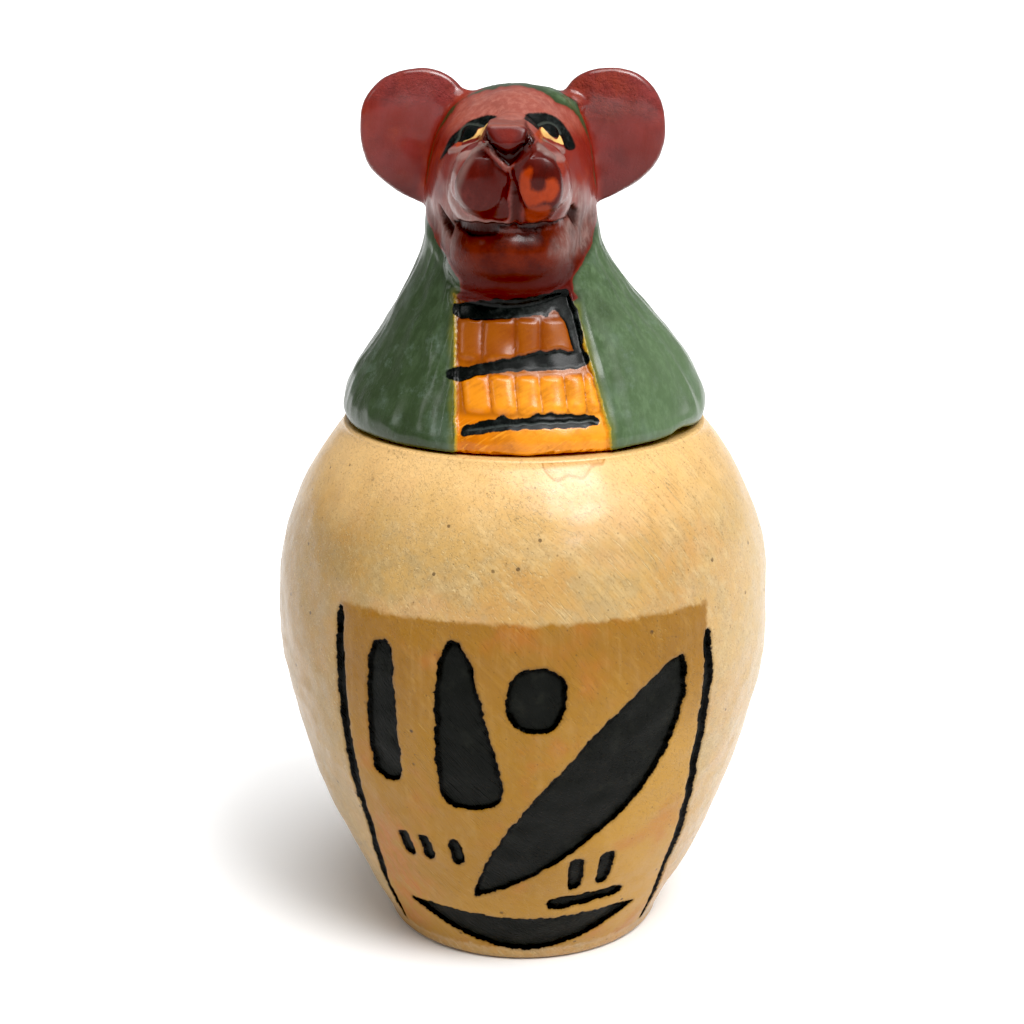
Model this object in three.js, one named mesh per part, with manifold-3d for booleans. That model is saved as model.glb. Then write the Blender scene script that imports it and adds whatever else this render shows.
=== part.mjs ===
// A small canopic jar carved in stone and painted: a hollow, round-shouldered jar, and a lid carved
// as a baboon's head in a wig with a striped collar, which lifts off. Millimetres, +Z up, the face
// towards -Y, and the origin at the middle of the foot.
import * as THREE from "three";
import { mergeVertices } from "three/addons/utils/BufferGeometryUtils.js";
import Module from "manifold-3d";

const wasm = await Module();
wasm.setup();

const jar = {
  height: 79.6, // foot to the flat seat under the lid
  bellyHeight: 50,
  bellyRadius: 37.25,
  footRadius: 20.3,
  footRounding: 1.6,
  rimRadius: 27.1,
  lowerFullness: 1.7, // power of the curve between belly and foot
  shoulderFullness: 2.4, // power of the curve between belly and rim
  wall: 7.5,
  floor: 9,
  mouthRadius: 17.5,
  neckDepth: 7, // straight part of the mouth
  ceilingSlope: 1.4, // how fast the hollow widens below the neck
};

const panel = {
  halfAngle: 44.5, // degrees to each side of the front, at the panel's top
  footFlare: 12, // degrees that the border lines spread by near the foot
  bottom: 2.5,
  top: 58,
  carvingDepth: 0.7,
};

const lid = {
  height: 50.1, // underside to the ear tips
  rimSetback: 0.1, // how far the lid's edge stands inside the jar's rim
  seatGap: 0.3,
  tenonDepth: 5,
  tenonClearance: 0.8,
  tenonChamfer: 0.8,
  collarRecess: 0.7,
  barDepth: 0.6, // below the recessed collar
  fluteHeight: 0.9,
  mouthDepth: 0.9,
};

const detail = {
  jarSides: 48,
  jarRows: 6,
  hollowSides: 28,
  hollowRows: 6,
  wigSides: 36,
  wigRows: 22,
  headSides: 36,
  headRings: 24,
  earSides: 20,
  earRings: 8,
};

const lidRadius = jar.rimRadius - lid.rimSetback;
const lidBase = jar.height + lid.seatGap;

// The figure is drawn on a carver's grid, with 50.1 squares from the lid's underside to the ear tips.
const square = lid.height / 50.1;
const faceAxis = -1.95 * square; // the head looks a little to one side of the jar's middle

// Solids in and out of the boolean library

function solidFrom(geometry) {
  const plain = geometry.index ? geometry.toNonIndexed() : geometry.clone();
  for (const name of Object.keys(plain.attributes)) {
    if (name !== "position") plain.deleteAttribute(name);
  }
  const merged = mergeVertices(plain, 1e-4);
  const corners = merged.index.array;
  const triangles = [];
  for (let i = 0; i < corners.length; i += 3) {
    const [a, b, c] = [corners[i], corners[i + 1], corners[i + 2]];
    if (a !== b && b !== c && c !== a) triangles.push(a, b, c);
  }
  return new wasm.Manifold(
    new wasm.Mesh({
      numProp: 3,
      vertProperties: new Float32Array(merged.attributes.position.array),
      triVerts: new Uint32Array(triangles),
    }),
  );
}

function geometryFrom(solid) {
  const mesh = solid.getMesh();
  const geometry = new THREE.BufferGeometry();
  geometry.setAttribute("position", new THREE.BufferAttribute(new Float32Array(mesh.vertProperties), 3));
  geometry.setIndex(new THREE.BufferAttribute(new Uint32Array(mesh.triVerts), 1));
  const faceted = geometry.toNonIndexed();
  faceted.computeVertexNormals();
  return faceted;
}

function reshape(geometry, place) {
  const position = geometry.attributes.position;
  const point = new THREE.Vector3();
  for (let i = 0; i < position.count; i += 1) {
    point.fromBufferAttribute(position, i);
    place(point);
    position.setXYZ(i, point.x, point.y, point.z);
  }
  return geometry;
}

function turned(profile, sides) {
  return solidFrom(new THREE.LatheGeometry(profile, sides).rotateX(Math.PI / 2));
}

function joined(solids) {
  return solids.reduce((whole, solid) => whole.add(solid));
}

function lerp(a, b, share) {
  return a + (b - a) * share;
}

// The jar

function jarRadius(height) {
  if (height < jar.bellyHeight) {
    const down = (jar.bellyHeight - height) / jar.bellyHeight;
    return jar.bellyRadius - (jar.bellyRadius - jar.footRadius) * down ** jar.lowerFullness;
  }
  const up = (height - jar.bellyHeight) / (jar.height - jar.bellyHeight);
  return jar.bellyRadius - (jar.bellyRadius - jar.rimRadius) * up ** jar.shoulderFullness;
}

function jarProfile() {
  const points = [new THREE.Vector2(0, 0)];
  const roundingSteps = 3;
  for (let i = 0; i < roundingSteps; i += 1) {
    const angle = ((i / roundingSteps) * Math.PI) / 2;
    const height = jar.footRounding * (1 - Math.cos(angle));
    const radius = jarRadius(jar.footRounding) - jar.footRounding * (1 - Math.sin(angle));
    points.push(new THREE.Vector2(radius, height));
  }
  for (let i = 0; i < detail.jarRows; i += 1) {
    const height = lerp(jar.footRounding, jar.bellyHeight, i / detail.jarRows);
    points.push(new THREE.Vector2(jarRadius(height), height));
  }
  for (let i = 0; i <= detail.jarRows; i += 1) {
    const height = lerp(jar.bellyHeight, jar.height, i / detail.jarRows);
    points.push(new THREE.Vector2(jarRadius(height), height));
  }
  points.push(new THREE.Vector2(0, jar.height));
  return points;
}

function hollowProfile() {
  const neckBottom = jar.height - jar.neckDepth;
  const above = jar.height + 1;
  const points = [new THREE.Vector2(0, jar.floor)];
  for (let i = 0; i <= detail.hollowRows; i += 1) {
    const height = lerp(jar.floor, neckBottom, i / detail.hollowRows);
    const ceiling = jar.mouthRadius + (neckBottom - height) * jar.ceilingSlope;
    points.push(new THREE.Vector2(Math.min(jarRadius(height) - jar.wall, ceiling), height));
  }
  points.push(new THREE.Vector2(jar.mouthRadius, above));
  points.push(new THREE.Vector2(0, above));
  return points;
}

// A sunk stroke follows a line given in degrees round the jar and shares of the panel's height. Its half
// widths, in millimetres, run from start to end. A bluntness of 2 gives a leaf, and more a blunt bar.
// The cutter is a plain box whose length is bent along the line and whose floor keeps the jar's curve.
function strokeCutter({ line, widths, swell = 0, bluntness = 6, steps = 8, across = 2 }) {
  const spine = new THREE.SplineCurve(line.map(([degrees, rise]) => new THREE.Vector2(
    THREE.MathUtils.degToRad(degrees) * jar.bellyRadius,
    lerp(panel.bottom, panel.top, rise),
  )));
  const box = new THREE.BoxGeometry(1, 1, 1, across, steps, 1);
  return solidFrom(reshape(box, (point) => {
    const along = (1 - Math.cos(Math.PI * THREE.MathUtils.clamp(0.5 - point.y, 0, 1))) / 2;
    const middle = spine.getPoint(along);
    const ahead = spine.getTangent(along);
    const taper = Math.sqrt(Math.max(0.01, 1 - Math.abs(2 * along - 1) ** bluntness));
    const width = 2 * (lerp(widths[0], widths[1], along) + swell * Math.sin(Math.PI * along)) * taper;
    const turn = (middle.x - point.x * width * ahead.y) / jar.bellyRadius;
    const height = middle.y + point.x * width * ahead.x;
    const radius = jarRadius(height) + (point.z < 0 ? -panel.carvingDepth : 1);
    point.set(radius * Math.sin(turn), -radius * Math.cos(turn), height);
  }));
}

function borderLine(side) {
  const line = [1, 0.75, 0.5, 0.25, 0].map((rise) => [
    side * (panel.halfAngle + panel.footFlare * (1 - rise) ** 3),
    rise,
  ]);
  return strokeCutter({ line, widths: [0.85, 0.5], bluntness: 16, across: 1 });
}

// Plain strokes stand in the inscription's place: tall ones above, short ones in the middle, and a
// bar and a long sagging stroke at the foot.
const strokes = [
  { line: [[-32, 0.95], [-34, 0.55]], widths: [1.9, 3.1] },
  { line: [[-15.5, 0.97], [-12, 0.5]], widths: [1.7, 6], bluntness: 5 },
  { line: [[3.5, 0.91], [2, 0.74]], widths: [4.1, 4.1], bluntness: 2.4 },
  { line: [[37, 0.9], [18, 0.56], [-15, 0.2]], widths: [2, 1.2], swell: 5.2, bluntness: 3, steps: 14 },
  { line: [[15, 0.33], [15.5, 0.22]], widths: [1.5, 1.3], steps: 4 },
  { line: [[24, 0.34], [24, 0.23]], widths: [1.5, 1.3], steps: 4 },
  { line: [[7.5, 0.17], [33, 0.19]], widths: [1.2, 0.9], steps: 6 },
  { line: [[-41, 0.13], [0, 0.055], [41, 0.12]], widths: [0.5, 0.4], swell: 3, bluntness: 4, steps: 16 },
  ...[-33.5, -27, -18.5].map((degrees) => (
    { line: [[degrees, 0.39], [degrees + 0.8, 0.31]], widths: [1.1, 1], steps: 4 }
  )),
];

function jarBody() {
  return turned(jarProfile(), detail.jarSides)
    .subtract(turned(hollowProfile(), detail.hollowSides))
    .subtract(joined([borderLine(-1), borderLine(1), ...strokes.map(strokeCutter)]));
}

// The lid's bell and hood as oval sections: height in grid squares, then the half width, the reach to
// the front and the reach to the back as shares of the lid's radius, and the middle's shift in squares.
const wigSections = [
  [0, 0.985, 0.945, 0.985, 0],
  [1, 1, 0.96, 1, 0],
  [3.2, 0.995, 0.93, 1, 0],
  [6.6, 0.935, 0.865, 0.965, 0],
  [11, 0.83, 0.785, 0.89, 0],
  [15, 0.735, 0.71, 0.815, -0.3],
  [18, 0.66, 0.66, 0.755, -0.7],
  [21, 0.6, 0.61, 0.7, -1.1],
  [24.5, 0.53, 0.53, 0.65, -1.5],
  [29, 0.475, 0.44, 0.61, -1.8],
  [34, 0.46, 0.38, 0.575, -1.9],
  [39, 0.435, 0.33, 0.535, -1.9],
  [43, 0.385, 0.29, 0.46, -1.7],
  [46.2, 0.3, 0.24, 0.35, -1.4],
  [47.8, 0.2, 0.17, 0.23, -1.1],
  [48.4, 0.09, 0.08, 0.1, -1],
];

const wigCurves = [1, 2, 3, 4].map((column) =>
  new THREE.SplineCurve(wigSections.map((row) => new THREE.Vector2(row[column], row[0]))));

function wigSection(along) {
  const share = THREE.MathUtils.clamp(along, 0, 1);
  const [side, front, back, shift] = wigCurves.map((curve) => curve.getPoint(share));
  return {
    height: side.y * square,
    side: side.x * lidRadius,
    front: front.x * lidRadius,
    back: back.x * lidRadius,
    shift: shift.x * square,
  };
}

// Each point of a plain drum keeps its bearing and takes the size of the section at its height.
function wigSolid(inset) {
  const drum = [new THREE.Vector2(0, 0)];
  for (let i = 0; i <= detail.wigRows; i += 1) drum.push(new THREE.Vector2(1, i / detail.wigRows));
  drum.push(new THREE.Vector2(0, 1));
  const unit = new THREE.LatheGeometry(drum, detail.wigSides).rotateX(Math.PI / 2);
  return solidFrom(reshape(unit, (point) => {
    const section = wigSection(point.z);
    const reach = point.y < 0 ? section.front : section.back;
    point.set(section.shift + point.x * (section.side - inset), point.y * (reach - inset), section.height);
  }));
}

// The front of the wig at a place seen from the front
function wigFront(x, height) {
  let [low, high] = [0, 1];
  while (high - low > 1e-4) {
    const middle = (low + high) / 2;
    if (wigSection(middle).height < height) low = middle;
    else high = middle;
  }
  const section = wigSection(low);
  const across = THREE.MathUtils.clamp((x - section.shift) / section.side, -0.99, 0.99);
  return -section.front * Math.sqrt(1 - across * across);
}

// Flat outlines in grid squares, cut straight back into the wig as far as a given depth
function wigCut(outlines, depth) {
  const blocks = outlines.map((outline) => {
    const shape = new THREE.Shape(outline.map(([x, z]) => new THREE.Vector2(x * square, z * square)));
    const block = new THREE.ExtrudeGeometry(shape, { depth: 1.5 * lidRadius, bevelEnabled: false });
    return solidFrom(block.rotateX(Math.PI / 2));
  });
  return joined(blocks).subtract(wigSolid(depth));
}

const collar = [[-9.4, -2], [12.3, -2], [11.9, 3], [6.4, 21], [-9.7, 20.4]];

// The three painted bars: where the middles of their left and right ends lie, and half their height
const bars = [
  { left: [-9.6, 18.6], right: [6.8, 19.5], half: 1.05 },
  { left: [-10.4, 10.3], right: [8.6, 12.3], half: 0.95 },
  { left: [-8.6, 3.4], right: [10.4, 4.6], half: 0.8 },
];

function barOutline({ left, right, half }) {
  return [
    [left[0], left[1] - half],
    [right[0], right[1] - half],
    [right[0], right[1] + half],
    [left[0], left[1] + half],
  ];
}

// A row of upright flutes laid on the sunk collar, with round ends and fuller towards the lower one
function fluteRow({ from, to, low, high, count }) {
  const pitch = (to - from) / count;
  const flutes = [];
  for (let i = 0; i < count; i += 1) {
    const middle = from + (i + 0.5) * pitch;
    const capsule = new THREE.CapsuleGeometry(1, 2, 2, 8).rotateX(Math.PI / 2);
    flutes.push(solidFrom(reshape(capsule, (point) => {
      const x = (middle + point.x * 0.49 * pitch) * square;
      const z = lerp(low, high, (2 + point.z) / 4) * square;
      const fullness = lid.fluteHeight * (1 - 0.15 * point.z);
      point.set(x, wigFront(x, z) + lid.collarRecess + point.y * fullness, z);
    })));
  }
  return joined(flutes);
}

const fluteRows = [
  { from: -9.6, to: 7, low: 11.6, high: 18.2, count: 4 },
  { from: -9.4, to: 10.4, low: 4.3, high: 10.8, count: 5 },
];

// The head as blobs blended into one smooth form. Their middles and half sizes are in grid squares,
// measured from the face's own middle, and the blended form is wrapped by a sphere drawn in from outside.
const headBlobs = [
  { at: [0, -3, 34.6], size: [11.7, 12, 13.3] }, // skull and cheeks
  { at: [0, -7, 27.5], size: [10, 10.4, 8.6] }, // jaw
  { at: [0, -8.5, 24.5], size: [9.6, 9.6, 6.6] }, // throat
  { at: [0, -13, 35], size: [8.8, 8.6, 7.6] }, // muzzle
  { at: [0, -12, 40.8], size: [4.6, 11.2, 4.6] }, // bridge of the nose
  { at: [0, -17, 39.6], size: [5, 6.6, 4.6] }, // under the nose
  { at: [-4, -17.6, 36.9], size: [4.3, 7, 5.2] }, // upper lip on one side
  { at: [4, -17.6, 36.9], size: [4.3, 7, 5.2] },
  { at: [0, -13, 27.6], size: [8.4, 8.2, 5.4] }, // chin
];
const headWrap = { centre: [0, -5, 32.5], reach: 32, blend: 1.3 };

function blobDistance(point, { at, size }) {
  const offset = point.map((value, axis) => value - at[axis]);
  const scaled = Math.hypot(...offset.map((value, axis) => value / size[axis]));
  const slope = Math.hypot(...offset.map((value, axis) => value / size[axis] ** 2));
  return slope < 1e-9 ? -Math.min(...size) : (scaled * (scaled - 1)) / slope;
}

function headDistance(point) {
  return headBlobs.map((blob) => blobDistance(point, blob)).reduce((a, b) => {
    const near = Math.max(0, 1 - Math.abs(a - b) / headWrap.blend);
    return Math.min(a, b) - (near * near * headWrap.blend) / 4;
  });
}

function headSolid(inset) {
  const sphere = new THREE.SphereGeometry(1, detail.headSides, detail.headRings);
  return solidFrom(reshape(sphere, (point) => {
    const way = point.toArray();
    let far = headWrap.reach;
    for (let i = 0; i < 60; i += 1) {
      const gap = headDistance(headWrap.centre.map((start, axis) => start + way[axis] * far));
      if (gap < 1e-3) break;
      far -= gap * 0.8;
    }
    const reach = far * square - inset;
    const [x, y, z] = headWrap.centre.map((start, axis) => start * square + way[axis] * reach);
    point.set(faceAxis + x, y, z);
  }));
}

// The nose is a wedge between the lips, with a flat front that is widest near its top.
function noseSolid() {
  const outline = [[0, 39.5], [3.8, 42.9], [2.6, 44.8], [-2.6, 44.8], [-3.8, 42.9]];
  const shape = new THREE.Shape(outline.map(([x, z]) => new THREE.Vector2(x * square, z * square)));
  const front = 23.6 * square;
  const depth = 9 * square;
  const bevel = { bevelThickness: 0.6 * square, bevelSize: 0.4 * square, bevelOffset: -0.4 * square };
  const wedge = new THREE.ExtrudeGeometry(shape, { depth, bevelSegments: 2, ...bevel });
  return solidFrom(wedge.rotateX(Math.PI / 2).translate(faceAxis, depth - front, 0));
}

// The mouth is a flat lens pushed a little way into the face, with its corners turned up.
function mouthCut() {
  const mouth = { front: 16, rise: 30.6, halfWidth: 9.2, halfDepth: 11, halfHeight: 0.7, smile: 1.1 };
  const sphere = new THREE.SphereGeometry(1, 20, 8).rotateX(Math.PI / 2);
  const lens = solidFrom(reshape(sphere, (point) => {
    point.set(
      faceAxis + point.x * mouth.halfWidth * square,
      (point.y * mouth.halfDepth - mouth.front) * square,
      (mouth.rise + point.z * mouth.halfHeight + mouth.smile * point.x ** 4) * square,
    );
  }));
  return lens.subtract(headSolid(lid.mouthDepth));
}

// One ear: a thin round plate that leans outwards, a little dished in front and narrower below
const ear = { across: 8.2, tall: 10.1, thick: 1.8, dish: 0.8, lean: 19, out: 13.9, rise: 40.2, back: 1.6 };

function earSolid(side) {
  const lean = THREE.MathUtils.degToRad(ear.lean);
  const plate = new THREE.SphereGeometry(1, detail.earSides, detail.earRings).rotateX(Math.PI / 2);
  return solidFrom(reshape(plate, (point) => {
    const dish = point.z > 0 ? ear.dish * (1 - Math.min(1, Math.hypot(point.x, point.y))) : 0;
    const u = side * point.x * ear.across * (1 - 0.12 * Math.max(0, -point.y));
    const v = point.y * ear.tall;
    const x = u * Math.cos(lean) + v * Math.sin(lean);
    const y = ear.back - Math.sign(point.z) * Math.sqrt(Math.abs(point.z)) * ear.thick + dish;
    const z = v * Math.cos(lean) - u * Math.sin(lean);
    point.set(faceAxis + side * (ear.out + x) * square, y * square, (ear.rise + z) * square);
  }));
}

function tenonSolid() {
  const radius = jar.mouthRadius - lid.tenonClearance;
  const inTheLid = 0.5;
  return turned([
    new THREE.Vector2(0, -lid.tenonDepth),
    new THREE.Vector2(radius - lid.tenonChamfer, -lid.tenonDepth),
    new THREE.Vector2(radius, lid.tenonChamfer - lid.tenonDepth),
    new THREE.Vector2(radius, inTheLid),
    new THREE.Vector2(0, inTheLid),
  ], detail.hollowSides);
}

function headLid() {
  const wig = wigSolid(0)
    .subtract(wigCut([collar], lid.collarRecess))
    .subtract(wigCut(bars.map(barOutline), lid.collarRecess + lid.barDepth));
  return joined([wig, ...fluteRows.map(fluteRow), headSolid(0), noseSolid(), earSolid(-1), earSolid(1)])
    .subtract(mouthCut())
    .add(tenonSolid());
}

function piece(name, solid, finish) {
  const mesh = new THREE.Mesh(geometryFrom(solid), new THREE.MeshStandardMaterial(finish));
  mesh.name = name;
  return mesh;
}

const canopicJar = new THREE.Group();

const body = piece("jar_body", jarBody(), { color: 0xe3cfa2, roughness: 0.35, metalness: 0 });
canopicJar.add(body);

const head = piece("head_lid", headLid(), { color: 0x3f5b40, roughness: 0.35, metalness: 0 });
head.position.z = lidBase;
canopicJar.add(head);

export default canopicJar;
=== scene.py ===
# A small canopic jar in painted and varnished stone: the hollow jar, and the lid carved as a baboon's head.
# Sizes are millimetres in the jar's own frame, and become metres where a point is placed.
import math

import bpy
import numpy as np
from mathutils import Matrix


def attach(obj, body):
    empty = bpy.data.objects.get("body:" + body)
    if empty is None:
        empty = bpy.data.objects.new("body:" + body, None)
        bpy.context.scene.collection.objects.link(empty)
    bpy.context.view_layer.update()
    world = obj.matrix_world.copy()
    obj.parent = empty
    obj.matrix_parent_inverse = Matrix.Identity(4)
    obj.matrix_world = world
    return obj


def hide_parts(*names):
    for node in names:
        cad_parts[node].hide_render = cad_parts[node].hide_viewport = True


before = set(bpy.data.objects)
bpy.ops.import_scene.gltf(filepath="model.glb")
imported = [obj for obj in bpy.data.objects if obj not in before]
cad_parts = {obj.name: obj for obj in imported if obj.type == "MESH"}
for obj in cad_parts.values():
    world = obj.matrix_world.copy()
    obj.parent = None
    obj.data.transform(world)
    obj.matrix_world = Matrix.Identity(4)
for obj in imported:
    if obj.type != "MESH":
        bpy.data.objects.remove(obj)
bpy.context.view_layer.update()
mm = 0.001
print("frame loaded")


# Small helpers for picking, moving and measuring points

def deselectAll():
    active = bpy.context.view_layer.objects.active
    if active and active.mode != "OBJECT":
        bpy.ops.object.mode_set(mode="OBJECT")
    bpy.ops.object.select_all(action="DESELECT")


def makeActive(piece):
    deselectAll()
    piece.select_set(True)
    bpy.context.view_layer.objects.active = piece


def readVectors(items, name):
    values = np.empty(len(items) * 3)
    items.foreach_get(name, values)
    return values.reshape(-1, 3)


def pointsOf(piece):
    return readVectors(piece.data.vertices, "co") / mm


def movePoints(piece, places):
    piece.data.vertices.foreach_set("co", (places * mm).ravel())
    piece.data.update()


def startEdit(piece):
    makeActive(piece)
    bpy.ops.object.mode_set(mode="EDIT")
    bpy.ops.mesh.select_all(action="SELECT")


def finishEdit():
    bpy.ops.mesh.select_all(action="SELECT")
    bpy.ops.mesh.normals_make_consistent(inside=False)
    bpy.ops.object.mode_set(mode="OBJECT")


# Edit mode with only those edges selected whose two ends pass a test
def editEdges(piece, wanted):
    for item in [*piece.data.vertices, *piece.data.edges, *piece.data.polygons]:
        item.select = False
    for edge in piece.data.edges:
        edge.select = wanted([piece.data.vertices[i] for i in edge.vertices])
    bpy.context.tool_settings.mesh_select_mode = (False, True, False)
    bpy.ops.object.mode_set(mode="EDIT")


def addMeasure(piece, name, values):
    layer = piece.data.attributes.new(name, "FLOAT", "POINT")
    layer.data.foreach_set("value", np.asarray(values, dtype=np.float32))


def ease(values, start, end):
    share = np.clip((values - start) / (end - start), 0, 1)
    return share * share * (3 - 2 * share)


# 1 on a line, and 0 from a given distance away
def closeTo(gap, width):
    return 1 - ease(gap, 0, width)


def smoothLine(points, shares):
    points = np.asarray(points, dtype=float)
    last = len(points) - 1
    at = np.clip(np.asarray(shares, dtype=float), 0, 1) * last
    first = np.minimum(at.astype(int), last - 1)
    t = (at - first)[:, None]
    before = points[np.maximum(first - 1, 0)]
    here = points[first]
    there = points[first + 1]
    beyond = points[np.minimum(first + 2, last)]
    bend = (2 * before - 5 * here + 4 * there - beyond) * t ** 2
    twist = (3 * here - before - 3 * there + beyond) * t ** 3
    return 0.5 * (2 * here + (there - before) * t + bend + twist)


def roundedOutline(points, count):
    ring = np.vstack([points[-1], points, points[:2]])
    shares = np.linspace(1, len(points) + 1, count, endpoint=False) / (len(ring) - 1)
    return smoothLine(ring, shares)


def lineDistance(points, line):
    line = np.asarray(line, dtype=float)
    best = np.full(len(points), 1e9)
    for start, end in zip(line[:-1], line[1:]):
        edge = end - start
        away = points - start
        share = np.clip(away @ edge / max(edge @ edge, 1e-12), 0, 1)
        best = np.minimum(best, ((away - share[:, None] * edge) ** 2).sum(axis=1))
    return np.sqrt(best)


def outlineDistance(points, outline):
    outline = np.asarray(outline, dtype=float)
    closed = np.vstack([outline, outline[:1]])
    inside = np.zeros(len(points), dtype=bool)
    for start, end in zip(closed[:-1], closed[1:]):
        rise = end[1] - start[1]
        if abs(rise) < 1e-9:
            continue
        crosses = (start[1] > points[:, 1]) != (end[1] > points[:, 1])
        meets = start[0] + (points[:, 1] - start[1]) / rise * (end[0] - start[0])
        inside ^= crosses & (points[:, 0] < meets)
    return np.where(inside, -1, 1) * lineDistance(points, closed)


# An even unevenness from a few seeded waves, about -1 to 1, with swells a given size apart
def waves(places, size, seed):
    dice = np.random.default_rng(seed)
    total = np.zeros(len(places))
    for _ in range(12):
        way = dice.normal(size=places.shape[1])
        way /= np.linalg.norm(way)
        pitch = size * dice.uniform(0.7, 1.6)
        total += np.sin(places @ way * (2 * math.pi / pitch) + dice.uniform(0, 2 * math.pi))
    return total / 3.5


# The jar

jarValues = {
    "height": 79.6,
    "bellyHeight": 50.0,
    "bellyRadius": 37.25,
    "footRadius": 20.3,
    "footRounding": 1.6,
    "rimRadius": 26.6,
    "rimRounding": 0.5,
    "lipRounding": 0.6,     # inside the mouth
    "lowerFullness": 1.7,
    "shoulderFullness": 2.4,
    "wall": 7.5,
    "floor": 9.0,
    "coveRadius": 3.0,      # between the hollow's wall and its floor
    "mouthRadius": 17.5,
    "neckDepth": 7.0,
    "ceilingSlope": 1.4,
    "fineTop": 60.0,        # the carved part has fine rows up to here
    "fineRow": 0.36,
    "fineAngle": 130.0,     # degrees of the front that have fine columns
    "fineColumns": 236,
    "backColumns": 84,
    "unevenness": 0.15,     # how far the hand-worked surface strays
    "facetDepth": 0.07,     # of the long flat tool strokes
}

panelValues = {
    "halfAngle": 44.5,
    "footFlare": 12.0,
    "bottom": 2.5,
    "top": 58.0,
    "borderTops": {-1: 1.01, 1: 0.945},     # shares of the panel's height, at the left and the right
    "borderHalfWidths": (0.8, 1.05),    # at the top and at the foot
    "stainTop": 1.02,
    "carvingDepth": 0.66,
    "carvingWall": (-0.2, 0.45),    # the carving's walls slope between these distances inside its outline
    "nearAngle": 64.0,      # degrees to each side of the front that are looked at for carving
    "raggedness": 0.11,     # how far the carved edges wander
}

# A drip of old varnish under the lid's edge: degrees round the jar, and height
dripOutline = [
    (4.5, 79.7), (6, 78.5), (9, 77.6), (13, 77.2), (17, 77.5), (19.5, 78.4), (24, 78.9), (25, 79.7),
]

# Plain sunk strokes in the inscription's place: the line in degrees round the jar and shares of the
# panel's height, half widths at its two ends, how much it swells between, and how blunt its ends are
strokes = [
    ([(-32, 0.95), (-34, 0.55)], (1.9, 3.1), 0, 6),
    ([(-15.5, 0.97), (-12, 0.5)], (1.7, 6), 0, 5),
    ([(3.5, 0.91), (2, 0.735)], (4.2, 4.2), 0, 2),
    ([(37, 0.9), (18, 0.56), (-15, 0.2)], (2, 1.2), 5.2, 3),
    ([(15, 0.33), (15.5, 0.22)], (1.5, 1.3), 0, 6),
    ([(24, 0.34), (24, 0.23)], (1.5, 1.3), 0, 6),
    ([(7.5, 0.17), (33, 0.19)], (1.2, 0.9), 0, 6),
    ([(-41, 0.13), (0, 0.055), (41, 0.12)], (0.5, 0.4), 3, 4),
    ([(-33.5, 0.39), (-32.7, 0.31)], (1.1, 1), 0, 6),
    ([(-27, 0.39), (-26.2, 0.31)], (1.1, 1), 0, 6),
    ([(-18.5, 0.39), (-17.7, 0.31)], (1.1, 1), 0, 6),
]


def jarRadius(height):
    v = jarValues
    belly = v["bellyHeight"]
    down = np.clip((belly - height) / belly, 0, 1) ** v["lowerFullness"]
    up = np.clip((height - belly) / (v["height"] - belly), 0, 1) ** v["shoulderFullness"]
    narrowing = (v["bellyRadius"] - v["footRadius"]) * down + (v["bellyRadius"] - v["rimRadius"]) * up
    return v["bellyRadius"] - narrowing


# The wall's cut line from the middle of the foot, up the outside, over the rim and down to the floor
def jarSection():
    v = jarValues
    turn = np.linspace(0, math.pi / 2, 8)[:-1]
    rounding = v["footRounding"]
    foot = jarRadius(rounding) - rounding
    rimRounding = v["rimRounding"]
    rimStart = v["height"] - rimRounding
    rim = jarRadius(rimStart) - rimRounding
    carved = np.arange(rounding, v["fineTop"], v["fineRow"])
    plain = np.linspace(v["fineTop"], rimStart, 26)[:-1]
    outside = np.concatenate([carved, plain])
    neckBottom = v["height"] - v["neckDepth"]
    coveRadius = v["coveRadius"]
    inside = np.linspace(neckBottom, v["floor"] + coveRadius, 26)
    ceiling = v["mouthRadius"] + (neckBottom - inside) * v["ceilingSlope"]
    hollow = np.minimum(jarRadius(inside) - v["wall"], ceiling)
    cove = hollow[-1] - coveRadius
    mouth = v["mouthRadius"]
    lip = v["lipRounding"]
    parts = [
        (np.linspace(0, foot, 7)[:-1], np.zeros(6)),
        (foot + rounding * np.sin(turn), rounding * (1 - np.cos(turn))),
        (jarRadius(outside), outside),
        (rim + rimRounding * np.cos(turn), rimStart + rimRounding * np.sin(turn)),
        (np.linspace(rim, mouth + lip, 8), np.full(8, v["height"])),
        (mouth + lip - lip * np.sin(turn[1:]), v["height"] - lip * (1 - np.cos(turn[1:]))),
        (np.full(5, mouth), np.linspace(v["height"] - lip, neckBottom, 6)[:-1]),
        (hollow, inside),
        (cove + coveRadius * np.cos(turn[1:]), v["floor"] + coveRadius - coveRadius * np.sin(turn[1:])),
        (np.linspace(cove, 0, 6), np.full(6, v["floor"])),
    ]
    return np.vstack([np.column_stack(part) for part in parts])


# Degrees round the jar and shares of the panel's height, as millimetres on the jar's surface rolled flat
def onPanel(line):
    v = panelValues
    return [
        (math.radians(degrees) * jarValues["bellyRadius"], v["bottom"] + (v["top"] - v["bottom"]) * share)
        for degrees, share in line
    ]


def strokeOutline(line, widths, swell, bluntness):
    along = (1 - np.cos(np.linspace(0, math.pi, 25))) / 2
    spine = smoothLine(onPanel(line), along)
    ahead = np.gradient(spine, axis=0)
    ahead /= np.linalg.norm(ahead, axis=1)[:, None]
    taper = np.sqrt(np.maximum(0.01, 1 - np.abs(2 * along - 1) ** bluntness))
    half = (widths[0] + (widths[1] - widths[0]) * along + swell * np.sin(math.pi * along)) * taper
    side = np.column_stack([-ahead[:, 1], ahead[:, 0]]) * half[:, None]
    return np.vstack([spine + side, (spine - side)[::-1]])


def borderLine(side, top):
    v = panelValues
    shares = [top, 0.75, 0.5, 0.25, 0]
    return [(side * (v["halfAngle"] + v["footFlare"] * (1 - share) ** 3), share) for share in shares]


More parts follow.
